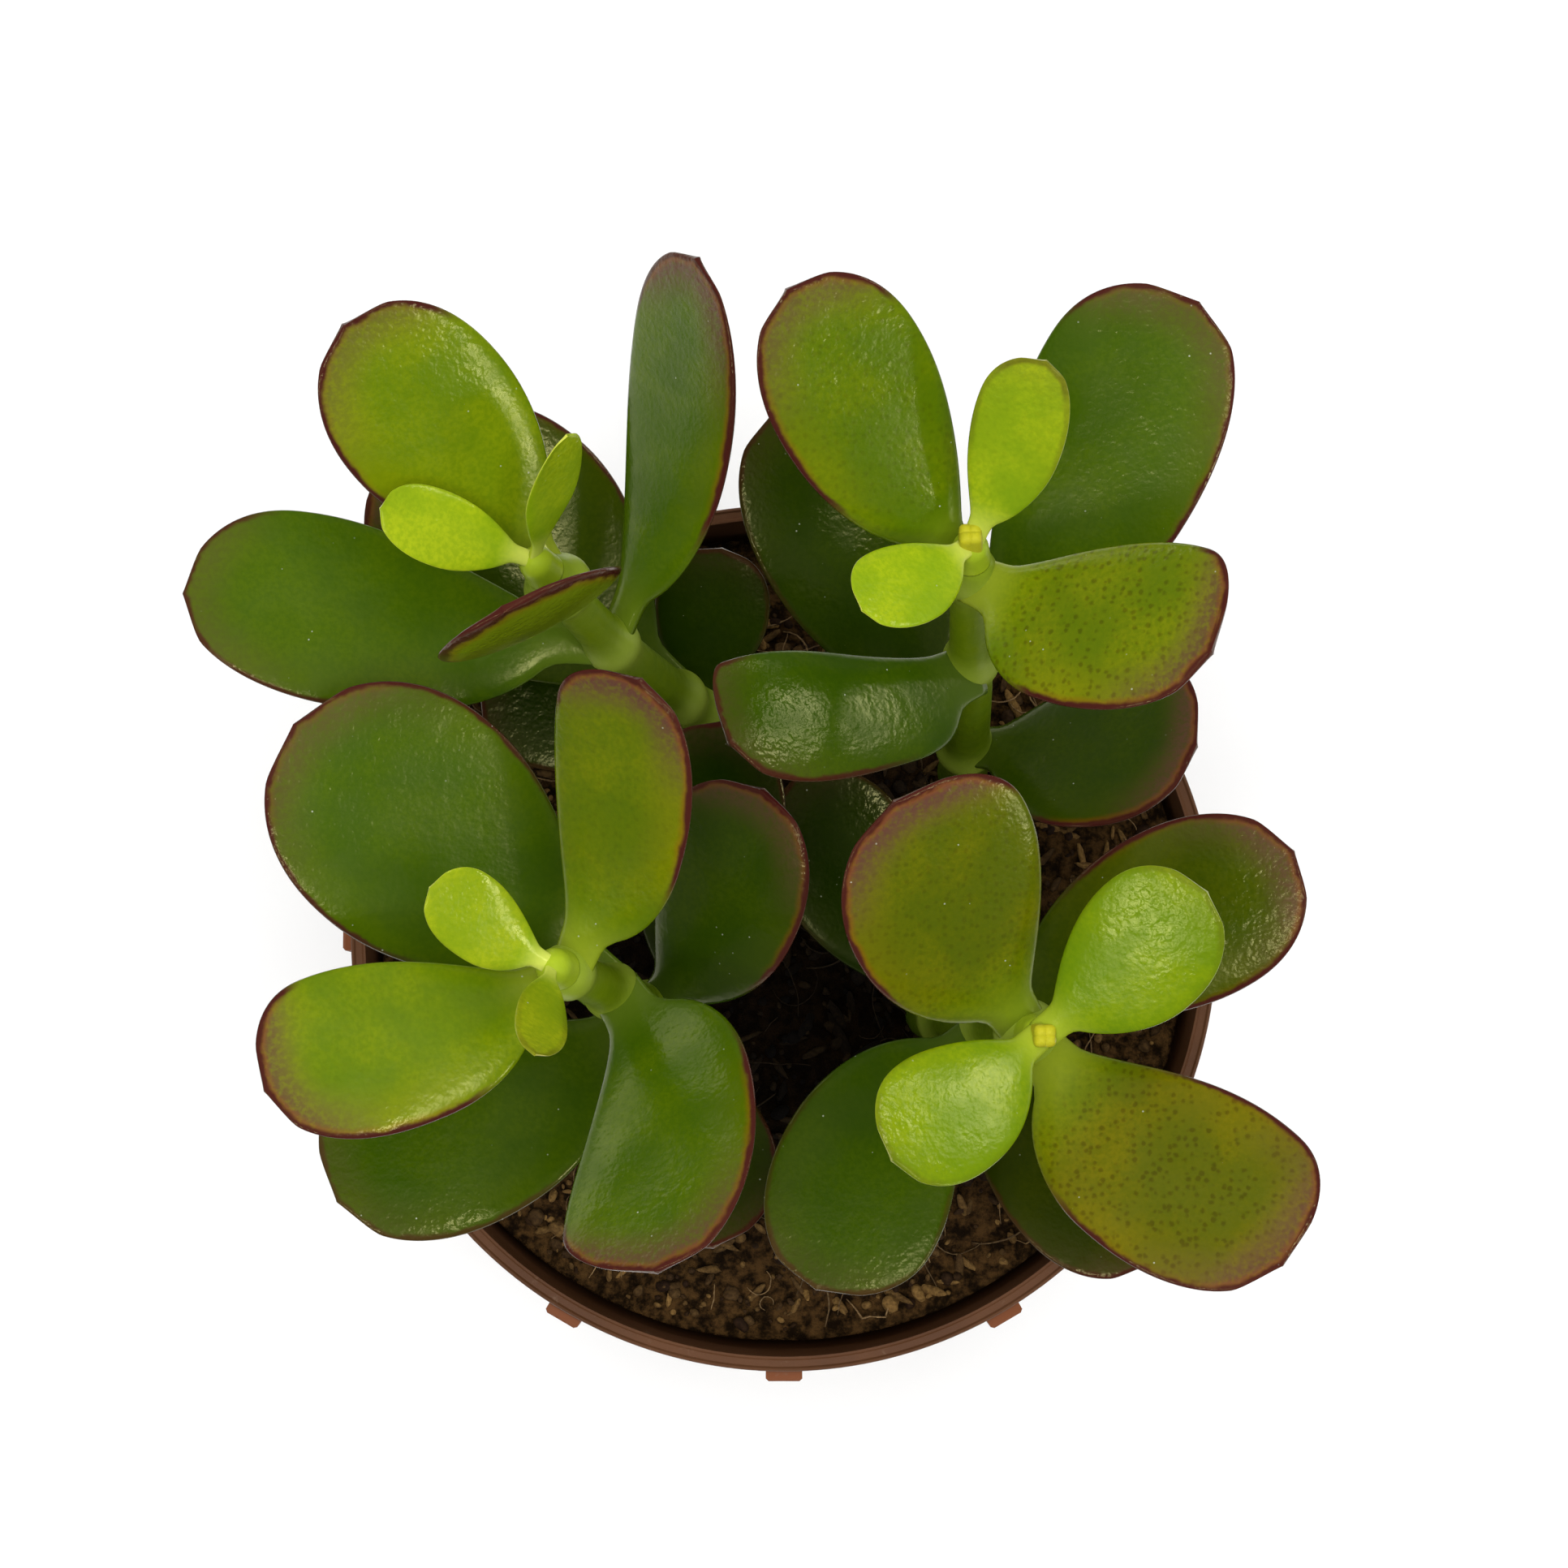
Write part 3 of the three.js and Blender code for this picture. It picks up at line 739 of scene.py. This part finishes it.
def add_bud(skin, root, way, rise):
    """A square bud of four stalks, its top this far above the young leaves' roots."""
    side, other = square_ways(way)
    top = root + way * (rise / way[2] + BUD_HALF_WIDTH / 2)
    radii = (BUD_HALF_WIDTH * BUD_FOOT_SHARE, BUD_HALF_WIDTH * BUD_TOP_SHARE)
    for across, back in ((-1, -1), (-1, 1), (1, -1), (1, 1)):
        shift = (side * across + other * back) * BUD_HALF_WIDTH * BUD_SPACING
        add_stalk(skin, root + shift, top + shift, radii, BUD_SQUARENESS, BUD_COLOUR)


def build_tip(cutting, leaf, stem, rng):
    """The growing tip: a soft stalk, two young leaves and, on two cuttings, a square bud."""
    before_end, end = stem_points(cutting["line"], [0.999, 1])
    way = unit(end - before_end)
    root_height = POT_HEIGHT + cutting["tip"][0][0][0]
    root = end + way * (root_height - end[2]) / way[2]
    skin = Skin()
    foot = end - way * TIP_SINK
    stalk_radii = (STEM_TOP_RADIUS, TIP_RADIUS)
    add_stalk(skin, foot, root + way * TIP_STALK_RISE, stalk_radii, 0.0, tone_colour(1.0))
    if cutting["bud"]:
        add_bud(skin, root, way, cutting["bud"])
    for shape, look in cutting["tip"]:
        add_leaf(skin, root, shape, look, YOUNG_LEAF_LIGHT, rng)
    piece = skin.piece(f"tip_{cutting['place']}", [leaf, stem])
    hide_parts(f"young_tip_{cutting['place']}")
    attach(piece, "root")


# ==== Materials ====


class Shader:
    """A node material, built by small steps."""

    def __init__(self, name):
        self.material = bpy.data.materials.new(name)
        self.material.use_nodes = True
        self.tree = self.material.node_tree
        self.surface = self.tree.nodes["Principled BSDF"]
        self.place = self.node("ShaderNodeTexCoord").outputs["Object"]

    def node(self, kind, **settings):
        made = self.tree.nodes.new(kind)
        for name, value in settings.items():
            setattr(made, name, value)
        return made

    def put(self, socket, value):
        """Link a socket to another's value, or set it."""
        if isinstance(value, bpy.types.NodeSocket):
            self.tree.links.new(value, socket)
        elif socket.type == "RGBA":
            socket.default_value = (*value, 1.0)
        else:
            socket.default_value = value

    def value(self, name):
        """A number held at the mesh's points."""
        return self.node("ShaderNodeAttribute", attribute_name=name).outputs["Fac"]

    def colour(self, name):
        """A colour held at the mesh's points."""
        return self.node("ShaderNodeAttribute", attribute_name=name).outputs["Color"]

    def math(self, operation, first, second=0.0):
        made = self.node("ShaderNodeMath", operation=operation)
        self.put(made.inputs[0], first)
        self.put(made.inputs[1], second)
        return made.outputs[0]

    def times(self, *factors):
        product = factors[0]
        for factor in factors[1:]:
            product = self.math("MULTIPLY", product, factor)
        return product

    def step(self, value, low, high, from_value=0.0, to_value=1.0):
        """A smooth step from one value to another, as value goes from low to high."""
        made = self.node("ShaderNodeMapRange", interpolation_type="SMOOTHSTEP")
        self.put(made.inputs["Value"], value)
        limits = {"From Min": low, "From Max": high, "To Min": from_value, "To Max": to_value}
        for name, limit in limits.items():
            made.inputs[name].default_value = limit
        return made.outputs["Result"]

    def mix(self, share, first, second, blend="MIX"):
        """One colour blended into another, through the colour sockets of a Mix node."""
        made = self.node("ShaderNodeMix", data_type="RGBA", blend_type=blend)
        self.put(made.inputs[0], share)
        self.put(made.inputs[6], first)
        self.put(made.inputs[7], second)
        return made.outputs[2]

    def scaled(self, colour, factors):
        """A colour with each of its channels multiplied by a factor."""
        return self.mix(1.0, colour, factors, "MULTIPLY")

    def noise(self, size_mm, detail=2.0, roughness=0.5):
        """Soft noise whose lumps are about this large."""
        made = self.node("ShaderNodeTexNoise")
        self.put(made.inputs["Vector"], self.place)
        made.inputs["Scale"].default_value = 1 / (size_mm * MM)
        made.inputs["Detail"].default_value = detail
        made.inputs["Roughness"].default_value = roughness
        return made.outputs["Fac"]

    def cells(self, size_mm, scatter):
        """The distance to the nearest of scattered points, in cells of this size."""
        made = self.node("ShaderNodeTexVoronoi")
        self.put(made.inputs["Vector"], self.place)
        made.inputs["Scale"].default_value = 1 / (size_mm * MM)
        made.inputs["Randomness"].default_value = scatter
        return made.outputs["Distance"]

    def bump(self, height, depth_mm, strength):
        """Raise the surface by a height, where 1 is this deep."""
        made = self.node("ShaderNodeBump")
        made.inputs["Strength"].default_value = strength
        made.inputs["Distance"].default_value = depth_mm * MM
        self.put(made.inputs["Height"], height)
        self.put(self.surface.inputs["Normal"], made.outputs["Normal"])

    def set(self, **values):
        """Set or link inputs of the surface by their names, with _ for a space."""
        for name, value in values.items():
            self.put(self.surface.inputs[name.replace("_", " ")], value)


def leaf_upper_side(s, tint, red, along, rim, grain):
    """Green in soft patches, flushed near a red margin, with dots, and pale at the neck."""
    deeper = s.scaled(tint, DEEPER_SKIN)
    patches = s.step(s.noise(8, 3), 0.36, 0.64, 0.0, 0.7)
    blade = s.mix(patches, s.scaled(tint, FRESHER_SKIN), deeper)
    blade = s.mix(s.step(grain, 0.35, 0.65, 0.0, 0.45), blade, deeper)
    flush = s.times(red, s.step(rim, 6.5, 1.0), 0.4)
    blade = s.mix(flush, blade, s.scaled(tint, FLUSHED_SKIN))
    blots = s.math("ADD", s.cells(0.85, 0.65), s.step(s.noise(0.5), 0.3, 0.7, -0.1, 0.1))
    dots = s.times(s.step(blots, 0.46, 0.12), s.value("speckle"), s.step(along, 0.15, 0.3))
    blade = s.mix(dots, blade, s.scaled(blade, DOTTED_SKIN))
    return s.mix(s.step(along, 0.27, 0.05, 0.0, 0.85), blade, s.scaled(tint, NECK_SKIN))


def leaf_under_side(s, tint, along, rim):
    """A paler green, palest in a band along the margin."""
    under = s.mix(0.25, tint, s.scaled(tint, UNDER_SKIN))
    pale_rim = s.times(s.step(rim, 1.4, 0.5), s.step(along, 0.3, 0.5), 0.5)
    return s.mix(pale_rim, under, s.scaled(tint, UNDER_RIM_SKIN))


def leaf_material():
    """Waxy leaf skin: green by its tint, with a dark red line at a red margin and an orange-red band
    inside it, the margin's red with a painted glow of light through it.
    """
    s = Shader("jade_leaf_skin")
    along, rim, face = s.value("along"), s.value("rim"), s.value("face")
    tint, red = s.colour("tint"), s.value("red")
    grain = s.noise(0.55, 3, 0.6)
    blade = leaf_upper_side(s, tint, red, along, rim, grain)

    outer = s.math("DIVIDE", rim, s.math("MAXIMUM", red, 1.0))
    outer = s.math("ADD", outer, s.step(s.noise(2.5, 3), 0.3, 0.7, -0.14, 0.14))
    cast = s.times(red, red, s.step(along, 0.62, 0.95), s.step(outer, 6.0, 0.3), 1.1)
    cast = s.times(s.math("MINIMUM", cast, 1.0), s.step(grain, 0.3, 0.6, 0.55, 1.0))
    blade = s.mix(cast, blade, RED_CAST)
    skin = s.mix(face, leaf_under_side(s, tint, along, rim), blade)
    # The red margin's orange-red band, brightened as a painted glow of light through the thin margin.
    band = s.times(s.step(red, 0.45, 1.0), s.step(outer, 1.3, 0.4), 0.5)
    skin = s.mix(band, skin, RED_BAND_WITH_GLOW)
    line = s.times(s.step(red, 0.08, 0.6), s.step(outer, 0.75, 0.3))
    skin = s.mix(line, skin, RED_LINE)
    # Painted glints: sparse tiny white dots, as light off the skin's pimples.
    glint_dots = s.times(s.step(s.cells(1.7, 1.0), 0.07, 0.04), s.step(s.noise(7), 0.5, 0.62), 0.5)
    s.set(Base_Color=s.mix(glint_dots, skin, PAINTED_GLINT_DOT))
    s.set(Roughness=s.step(s.noise(4), 0.3, 0.7, 0.16, 0.26))
    s.set(IOR=1.45, Specular_IOR_Level=0.42, Specular_Tint=LEAF_SHEEN)
    pimples = s.math("ADD", s.noise(0.6, 1.5), s.times(s.noise(2.2, 1.0), 1.4))
    s.bump(s.times(pimples, s.step(along, 0.45, 0.95, 0.6, 1.4)), 0.08, 0.6)
    return s.material


def stem_material():
    """Smooth green stem skin with pale collars."""
    s = Shader("jade_stem_skin")
    collar, tint = s.value("along"), s.colour("tint")
    streaks = s.noise(1.6, 3)
    skin = s.mix(s.step(streaks, 0.35, 0.7, 0.0, 0.5), tint, s.scaled(tint, STREAKED_SKIN))
    skin = s.mix(s.times(collar, 0.6), skin, COLLAR_COLOUR)
    s.set(Base_Color=skin, Roughness=s.step(streaks, 0.3, 0.7, 0.36, 0.5))
    s.set(Specular_IOR_Level=0.35, Specular_Tint=STEM_SHEEN)
    s.bump(s.noise(0.9, 2), 0.1, 0.5)
    return s.material


def pot_material():
    """Matte red-brown moulded plastic with faint scuffs, and a painted glow of light through the thin
    lugs that makes them brighter.
    """
    s = Shader("nursery_pot_plastic")
    cloud = s.noise(14, 4)
    body = s.mix(s.step(cloud, 0.35, 0.7), POT_DARK, POT_LIGHT)
    place = s.node("ShaderNodeSeparateXYZ")
    s.put(place.inputs[0], s.place)
    x, y = place.outputs[0], place.outputs[1]
    radius = s.math("SQRT", s.math("ADD", s.times(x, x), s.times(y, y)))
    # Painted glow: the lugs are brighter, as light shining through their thin plastic.
    lug = s.step(radius, (RIM_RADIUS + 0.1) * MM, (RIM_RADIUS + 0.6) * MM)
    body = s.mix(lug, body, LUG_PAINTED_GLOW)
    scuffs = s.times(s.step(s.noise(2.2, 5, 0.7), 0.6, 0.72), 0.35)
    body = s.mix(scuffs, body, SCUFF_COLOUR)
    s.set(Base_Color=body, Roughness=s.step(cloud, 0.3, 0.7, 0.5, 0.64), Specular_IOR_Level=0.25)
    s.bump(s.noise(0.5, 3), 0.06, 0.6)
    return s.material


def soil_material():
    """Dark peat, crumbly, and darker in the middle of the pot with painted shade."""
    s = Shader("peat_soil")
    lumps = s.noise(1.6, 5, 0.65)
    earth = s.mix(s.step(lumps, 0.38, 0.66), EARTH_DARK, EARTH_LIGHT)
    # Painted shade: the earth turns near black towards the middle of the pot.
    earth = s.mix(s.value("dryness"), EARTH_SHADED, earth)
    s.set(Base_Color=earth, Roughness=0.95, Specular_IOR_Level=0.1)
    s.bump(lumps, 0.9, 0.9)
    return s.material


def grain_material():
    """Crumbs, chips and fibres of peat and coir, each by its own tint, with painted shade in the hollows
    of their lumps.
    """
    s = Shader("peat_grains")
    lumps = s.noise(0.5, 4, 0.6)
    tint = s.colour("tint")
    # Painted shade: darker where the bump's lumps sink.
    grain = s.mix(s.step(lumps, 0.3, 0.7), s.scaled(tint, PAINTED_GRAIN_HOLLOW_SHADE), tint)
    s.set(Base_Color=grain, Roughness=0.9, Specular_IOR_Level=0.25)
    s.bump(lumps, 0.25, 0.8)
    return s.material


# ==== Pot ====


def pot_profile():
    """Radii and heights, from the middle of the underside up the outside and down the inside."""
    rim_inside = RIM_RADIUS - RIM_WIDTH
    outside = [
        (0, 0), (CENTRE_PAD_RADIUS, 0), (CENTRE_PAD_RADIUS + BASE_RECESS, BASE_RECESS),
        (FOOT_RING_RADIUS - BASE_RECESS, BASE_RECESS), (FOOT_RING_RADIUS, 0),
        (BASE_RADIUS - BASE_ROUND, 0),
        (BASE_RADIUS - 0.3 * BASE_ROUND, 0.3 * BASE_ROUND),
        (BASE_RADIUS, BASE_ROUND),
        (BODY_TOP_RADIUS, SHOULDER),
        (BODY_TOP_RADIUS + SHOULDER_BLEND, SHOULDER + STEP_ROUND),
        (COLLAR_FOOT_RADIUS - STEP_ROUND, COLLAR_FOOT - STEP_ROUND),
        (COLLAR_FOOT_RADIUS, COLLAR_FOOT),
    ]
    outer_lip = [(RIM_RADIUS - inward, POT_HEIGHT - drop) for inward, drop in OUTER_LIP]
    inner_lip = [(rim_inside + outward, POT_HEIGHT - drop) for outward, drop in INNER_LIP]
    inside = [
        (COLLAR_FOOT_RADIUS - WALL, COLLAR_FOOT + COLLAR_STEP),
        (BODY_TOP_RADIUS - WALL, SHOULDER),
        (BASE_RADIUS - WALL, BASE_FLOOR + FLOOR_CORNER),
        (BASE_RADIUS - WALL - FLOOR_CORNER, BASE_FLOOR),
        (0, BASE_FLOOR),
    ]
    return outside + outer_lip + inner_lip + inside


def turned_mesh(profile, sides):
    """Points and faces of a profile turned about the z axis, its ends being on the axis."""
    rings = np.array(profile[1:-1])
    angle = 2 * np.pi * np.arange(sides) / sides
    points = [(0, 0, profile[0][1])]
    for radius, height in rings:
        points += [(radius * math.cos(a), radius * math.sin(a), height) for a in angle]
    points.append((0, 0, profile[-1][1]))
    return np.array(points, float), loft_faces(len(rings), sides)


def apply_modifiers(piece):
    """Give the piece the mesh that its modifiers make of it."""
    shape = piece.evaluated_get(bpy.context.evaluated_depsgraph_get())
    mesh = bpy.data.meshes.new_from_object(shape)
    piece.modifiers.clear()
    piece.data = mesh


def cut_or_join(piece, other, operation):
    """Cut the other object out of the piece, or join it on, and drop the other object."""
    step = piece.modifiers.new("step", "BOOLEAN")
    step.object = other
    step.operation = operation
    step.solver = "EXACT"
    apply_modifiers(piece)
    bpy.data.objects.remove(other)


def lug_points(index):
    """Points and faces of one small lug on the collar, with bevelled edges."""
    inner = COLLAR_FOOT_RADIUS - WALL / 2
    outer = RIM_RADIUS + LUG_REACH
    top = POT_HEIGHT - LUG_DROP
    turn = 2 * np.pi * index / LUG_COUNT
    corners = []
    for radius, inset in ((inner, 0), (outer - LUG_BEVEL, 0), (outer, LUG_BEVEL)):
        half = LUG_WIDTH / 2 - inset
        low, high = top - LUG_HEIGHT + inset, top - inset
        corners += [(radius, side, low) for side in (-half, half)]
        corners += [(radius, side, high) for side in (half, -half)]
    corners = np.array(corners)
    x = corners[:, 0] * math.cos(turn) - corners[:, 1] * math.sin(turn)
    y = corners[:, 0] * math.sin(turn) + corners[:, 1] * math.cos(turn)
    faces = [(3, 2, 1, 0), (8, 9, 10, 11)]
    for ring in (0, 4):
        for corner in range(4):
            after = (corner + 1) % 4
            faces.append((ring + corner, ring + after, ring + 4 + after, ring + 4 + corner))
    return np.column_stack([x, y, corners[:, 2]]), faces


def drain_points(index):
    """Points and faces of the round peg that cuts one drainage hole."""
    angle = 2 * np.pi * (index + 0.5) / DRAIN_COUNT
    low, high = -BASE_FLOOR, 2 * BASE_FLOOR
    profile = [(0, low), (DRAIN_RADIUS, low), (DRAIN_RADIUS, high), (0, high)]
    points, faces = turned_mesh(profile, DRAIN_SIDES)
    return points + (DRAIN_CIRCLE * math.cos(angle), DRAIN_CIRCLE * math.sin(angle), 0), faces


def build_pot():
    """The turned pot with its lugs joined on and its drainage holes cut."""
    shell = Skin()
    shell.add(*turned_mesh(pot_profile(), POT_SIDES))
    pot = shell.piece("nursery_pot", [])
    lugs = Skin()
    for index in range(LUG_COUNT):
        lugs.add(*lug_points(index))
    cut_or_join(pot, lugs.piece("lugs", []), "UNION")
    drains = Skin()
    for index in range(DRAIN_COUNT):
        drains.add(*drain_points(index))
    cut_or_join(pot, drains.piece("drains", []), "DIFFERENCE")
    pot.data.materials.clear()
    pot.data.materials.append(pot_material())
    pot.data.shade_smooth()
    pot.data.set_sharp_from_angle(angle=math.radians(SHARP_EDGE))
    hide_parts("pot")
    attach(pot, "root")


# ==== Soil ====


def soil_height(x, y):
    """The height of the soil's surface: soft lumps, with fine crumbs on them."""
    broad = np.sin(0.21 * x + 1.3) * np.cos(0.18 * y - 0.4)
    fine = np.sin(0.55 * x - 0.3 * y) * np.cos(0.47 * y + 0.2 * x + 0.9)
    grain = np.sin(2.1 * x + 0.7 * y) * np.sin(1.7 * y - 0.9 * x + 2)
    grain = grain + np.sin(3.3 * x) * np.sin(3.7 * y)
    return SOIL_TOP + SOIL_LUMP * (0.6 * broad + 0.4 * fine) + SOIL_GRAIN * grain


def soil_dryness(x, y):
    """How much light the soil keeps under painted shade: least in the middle of the pot."""
    share = smoothstep(np.hypot(x, y - SHADE_MIDDLE_Y), SHADE_RADIUS, UNSHADED_RADIUS)
    return SHADED_SOIL_LIGHT + (1 - SHADED_SOIL_LIGHT) * share


def build_soil_bed(soil):
    """The body of soil in the pot, with an uneven top."""
    radii = SOIL_RADIUS * np.linspace(1, 0, SOIL_RINGS)[:-1]
    side = [(SOIL_FOOT_RADIUS, SOIL_LOW), (SOIL_SHOULDER_RADIUS, SHOULDER)]
    top = [(radius, SOIL_TOP) for radius in radii]
    points, faces = turned_mesh([(0, SOIL_LOW), *side, *top, (0, SOIL_TOP)], SOIL_SIDES)
    on_top = points[:, 2] > SHOULDER
    points[on_top, 2] = soil_height(points[on_top, 0], points[on_top, 1])
    skin = Skin()
    # Each point holds how much painted shade darkens the soil there.
    skin.add(points, faces, dryness=soil_dryness(points[:, 0], points[:, 1]))
    piece = skin.piece("soil_bed", [soil])
    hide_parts("soil")
    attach(piece, "root")


def build_soil_crumbs(grains, rng):
    """The loose crumbs, chips and fibres that lie on the soil, as one piece."""
    skin = Skin()
    add_crumbs(skin, rng)
    add_fibres(skin, rng)
    piece = skin.piece("soil_crumbs", [grains])
    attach(piece, "root")


def ball_mesh():
    """Points and faces of a round of 42 points, as the base of a crumb."""
    ball = bmesh.new()
    bmesh.ops.create_icosphere(ball, subdivisions=2, radius=1.0)
    points = np.array([vertex.co[:] for vertex in ball.verts])
    faces = [tuple(vertex.index for vertex in face.verts) for face in ball.faces]
    ball.free()
    return points, faces


def spot_in_disc(rng, radius):
    """A random place in a disc, spread evenly over its area."""
    angle = rng.uniform(0, 2 * np.pi)
    distance = radius * math.sqrt(rng.uniform(0, 1))
    return distance * math.cos(angle), distance * math.sin(angle)


def crumb_size(chip, rng):
    """A crumb's half size and how far it stretches each way: chips are long and flat."""
    if chip:
        size = rng.uniform(0.35, 0.75)
        return size, np.array([rng.uniform(1.8, 4.2), 0.8, 0.6])
    size = 0.28 + 0.8 * rng.uniform(0, 1) ** 3
    return size, rng.uniform(0.7, 1.25, 3)


def crumb_swell(ball, rng):
    """How far each point of a crumb stands out, for a lumpy shape."""
    swell = 1.0
    for _ in range(CRUMB_LUMPS):
        way = rng.normal(size=3) * 1.6
        swell = swell + 0.16 * np.sin(ball @ way + rng.uniform(0, 6))
    return swell[:, None]


def tumbled(points, rng):
    """Points turned a little about y, then by any angle about z."""
    yaw, tilt = rng.uniform(0, 2 * np.pi), rng.normal(0, 0.35)
    x = points[:, 0] * math.cos(tilt) - points[:, 2] * math.sin(tilt)
    z = points[:, 0] * math.sin(tilt) + points[:, 2] * math.cos(tilt)
    y = x * math.sin(yaw) + points[:, 1] * math.cos(yaw)
    x = x * math.cos(yaw) - points[:, 1] * math.sin(yaw)
    return np.column_stack([x, y, z])


def add_crumbs(skin, rng):
    """Crumbs and chips of peat, scattered over the soil and partly sunk in it."""
    ball, faces = ball_mesh()
    for index in range(CRUMB_COUNT + CHIP_COUNT):
        chip = index >= CRUMB_COUNT
        size, stretch = crumb_size(chip, rng)
        points = tumbled(ball * crumb_swell(ball, rng) * size * stretch, rng)
        reach = size * stretch[0] * 0.8
        x, y = spot_in_disc(rng, SOIL_RADIUS - CRUMB_INSET - reach)
        points += (x, y, soil_height(x, y) + size * rng.uniform(-0.1, 0.45))
        share = rng.uniform(0, 1) ** (0.9 if chip else 2.4)
        # Painted shade darkens the crumbs towards the middle of the pot.
        tint = (CRUMB_DARK + (CRUMB_LIGHT - CRUMB_DARK) * share) * soil_dryness(x, y)
        skin.add(points, faces, tint=np.tile(tint, (len(points), 1)))


def add_fibre(skin, spine, radius, tint):
    """One fibre round its middle line, thinner to both ends."""
    shares = np.clip(np.linspace(0, 1, len(spine)) * 0.96 + 0.02, 0, 1)
    radii = radius * (0.55 + 0.45 * np.sin(np.pi * shares))
    rings = circle_rings(spine, tangents(spine), radii, FIBRE_SIDES)
    points = np.concatenate([[spine[0]], rings.reshape(-1, 3), [spine[-1]]])
    faces = loft_faces(len(spine), FIBRE_SIDES)
    skin.add(points, faces, tint=np.tile(tint, (len(points), 1)))


def fibre_spine(rng):
    """The loosely curved middle line of a fibre over the crumbs, and the painted shade where its end
    lies.
    """
    length = rng.uniform(3, 13)
    x, y = spot_in_disc(rng, SOIL_RADIUS - FIBRE_START_INSET)
    heading = rng.uniform(0, 2 * np.pi)
    bend = rng.normal(0, 0.16)
    lift = rng.uniform(0.25, 0.9)
    spine = []
    for step in range(FIBRE_STEPS):
        arch = lift * math.sin(math.pi * step / (FIBRE_STEPS - 1))
        spine.append((x, y, soil_height(x, y) + FIBRE_LIFT + arch))
        heading += bend + rng.normal(0, 0.12)
        next_x = x + length / FIBRE_STEPS * math.cos(heading)
        next_y = y + length / FIBRE_STEPS * math.sin(heading)
        if math.hypot(next_x, next_y) > SOIL_RADIUS - FIBRE_INSET:
            heading += math.pi / 2
        else:
            x, y = next_x, next_y
    return np.array(spine), soil_dryness(x, y)


def add_fibres(skin, rng):
    """Thin pale fibres of coir over the soil."""
    for _ in range(FIBRE_COUNT):
        spine, dryness = fibre_spine(rng)
        # Painted shade darkens the fibres towards the middle of the pot.
        tint = FIBRE_COLOUR * rng.uniform(0.35, 1.0) * dryness
        add_fibre(skin, spine, rng.uniform(0.06, 0.13), tint)


# ==== Stage ====


def build_floor():
    """A wide pale floor."""
    s = Shader("pale_floor")
    s.set(Base_Color=s.mix(s.step(s.noise(400), 0.3, 0.7), FLOOR_DARK, FLOOR_LIGHT))
    s.set(Roughness=0.9, Specular_IOR_Level=0.1)
    bpy.ops.mesh.primitive_plane_add(size=FLOOR_SIZE)
    floor = bpy.context.object
    floor.name = "floor"
    floor.data.materials.append(s.material)


def build_light():
    """An even white surrounding, and the softboxes."""
    world = bpy.data.worlds.new("soft_light")
    bpy.context.scene.world = world
    world.use_nodes = True
    background = world.node_tree.nodes["Background"]
    background.inputs["Color"].default_value = (1, 1, 1, 1)
    background.inputs["Strength"].default_value = WORLD_STRENGTH
    for softbox in SOFTBOXES:
        add_softbox(*softbox)


def add_softbox(name, azimuth, elevation, distance, width, height, radiance, mirrored):
    """A rectangular light that faces the plant, from an azimuth and elevation in degrees."""
    light = bpy.data.lights.new(name, "AREA")
    light.shape = "RECTANGLE"
    light.size, light.size_y = width, height
    light.energy = radiance * math.pi * width * height
    lamp = bpy.data.objects.new(name, light)
    turn, rise = math.radians(azimuth), math.radians(elevation)
    level = math.cos(rise)
    way = Vector((level * math.cos(turn), level * math.sin(turn), math.sin(rise)))
    lamp.location = Vector(LIGHT_TARGET) * MM + way * distance
    lamp.rotation_euler = way.to_track_quat("Z", "Y").to_euler()
    lamp.visible_glossy = mirrored
    bpy.context.scene.collection.objects.link(lamp)


def build_camera():
    """The view from nearly straight above."""
    scene = bpy.context.scene
    lens = bpy.data.cameras.new("camera")
    lens.sensor_width = CAMERA_SENSOR
    lens.lens = CAMERA_LENS
    lens.clip_start = CAMERA_CLIP
    camera = bpy.data.objects.new("camera", lens)
    camera.location = [coordinate * MM for coordinate in CAMERA_PLACE]
    camera.rotation_euler = (math.radians(90 - CAMERA_ELEVATION), 0, 0)
    scene.collection.objects.link(camera)
    scene.camera = camera
    scene.view_settings.view_transform = "Standard"


def main():
    rng = np.random.default_rng(RANDOM_SEED)
    build_camera()
    build_floor()
    build_light()
    leaf, stem = leaf_material(), stem_material()
    for cutting in CUTTINGS:
        build_cutting(cutting, leaf, stem, rng)
        build_tip(cutting, leaf, stem, rng)
    build_pot()
    build_soil_bed(soil_material())
    build_soil_crumbs(grain_material(), rng)


main()
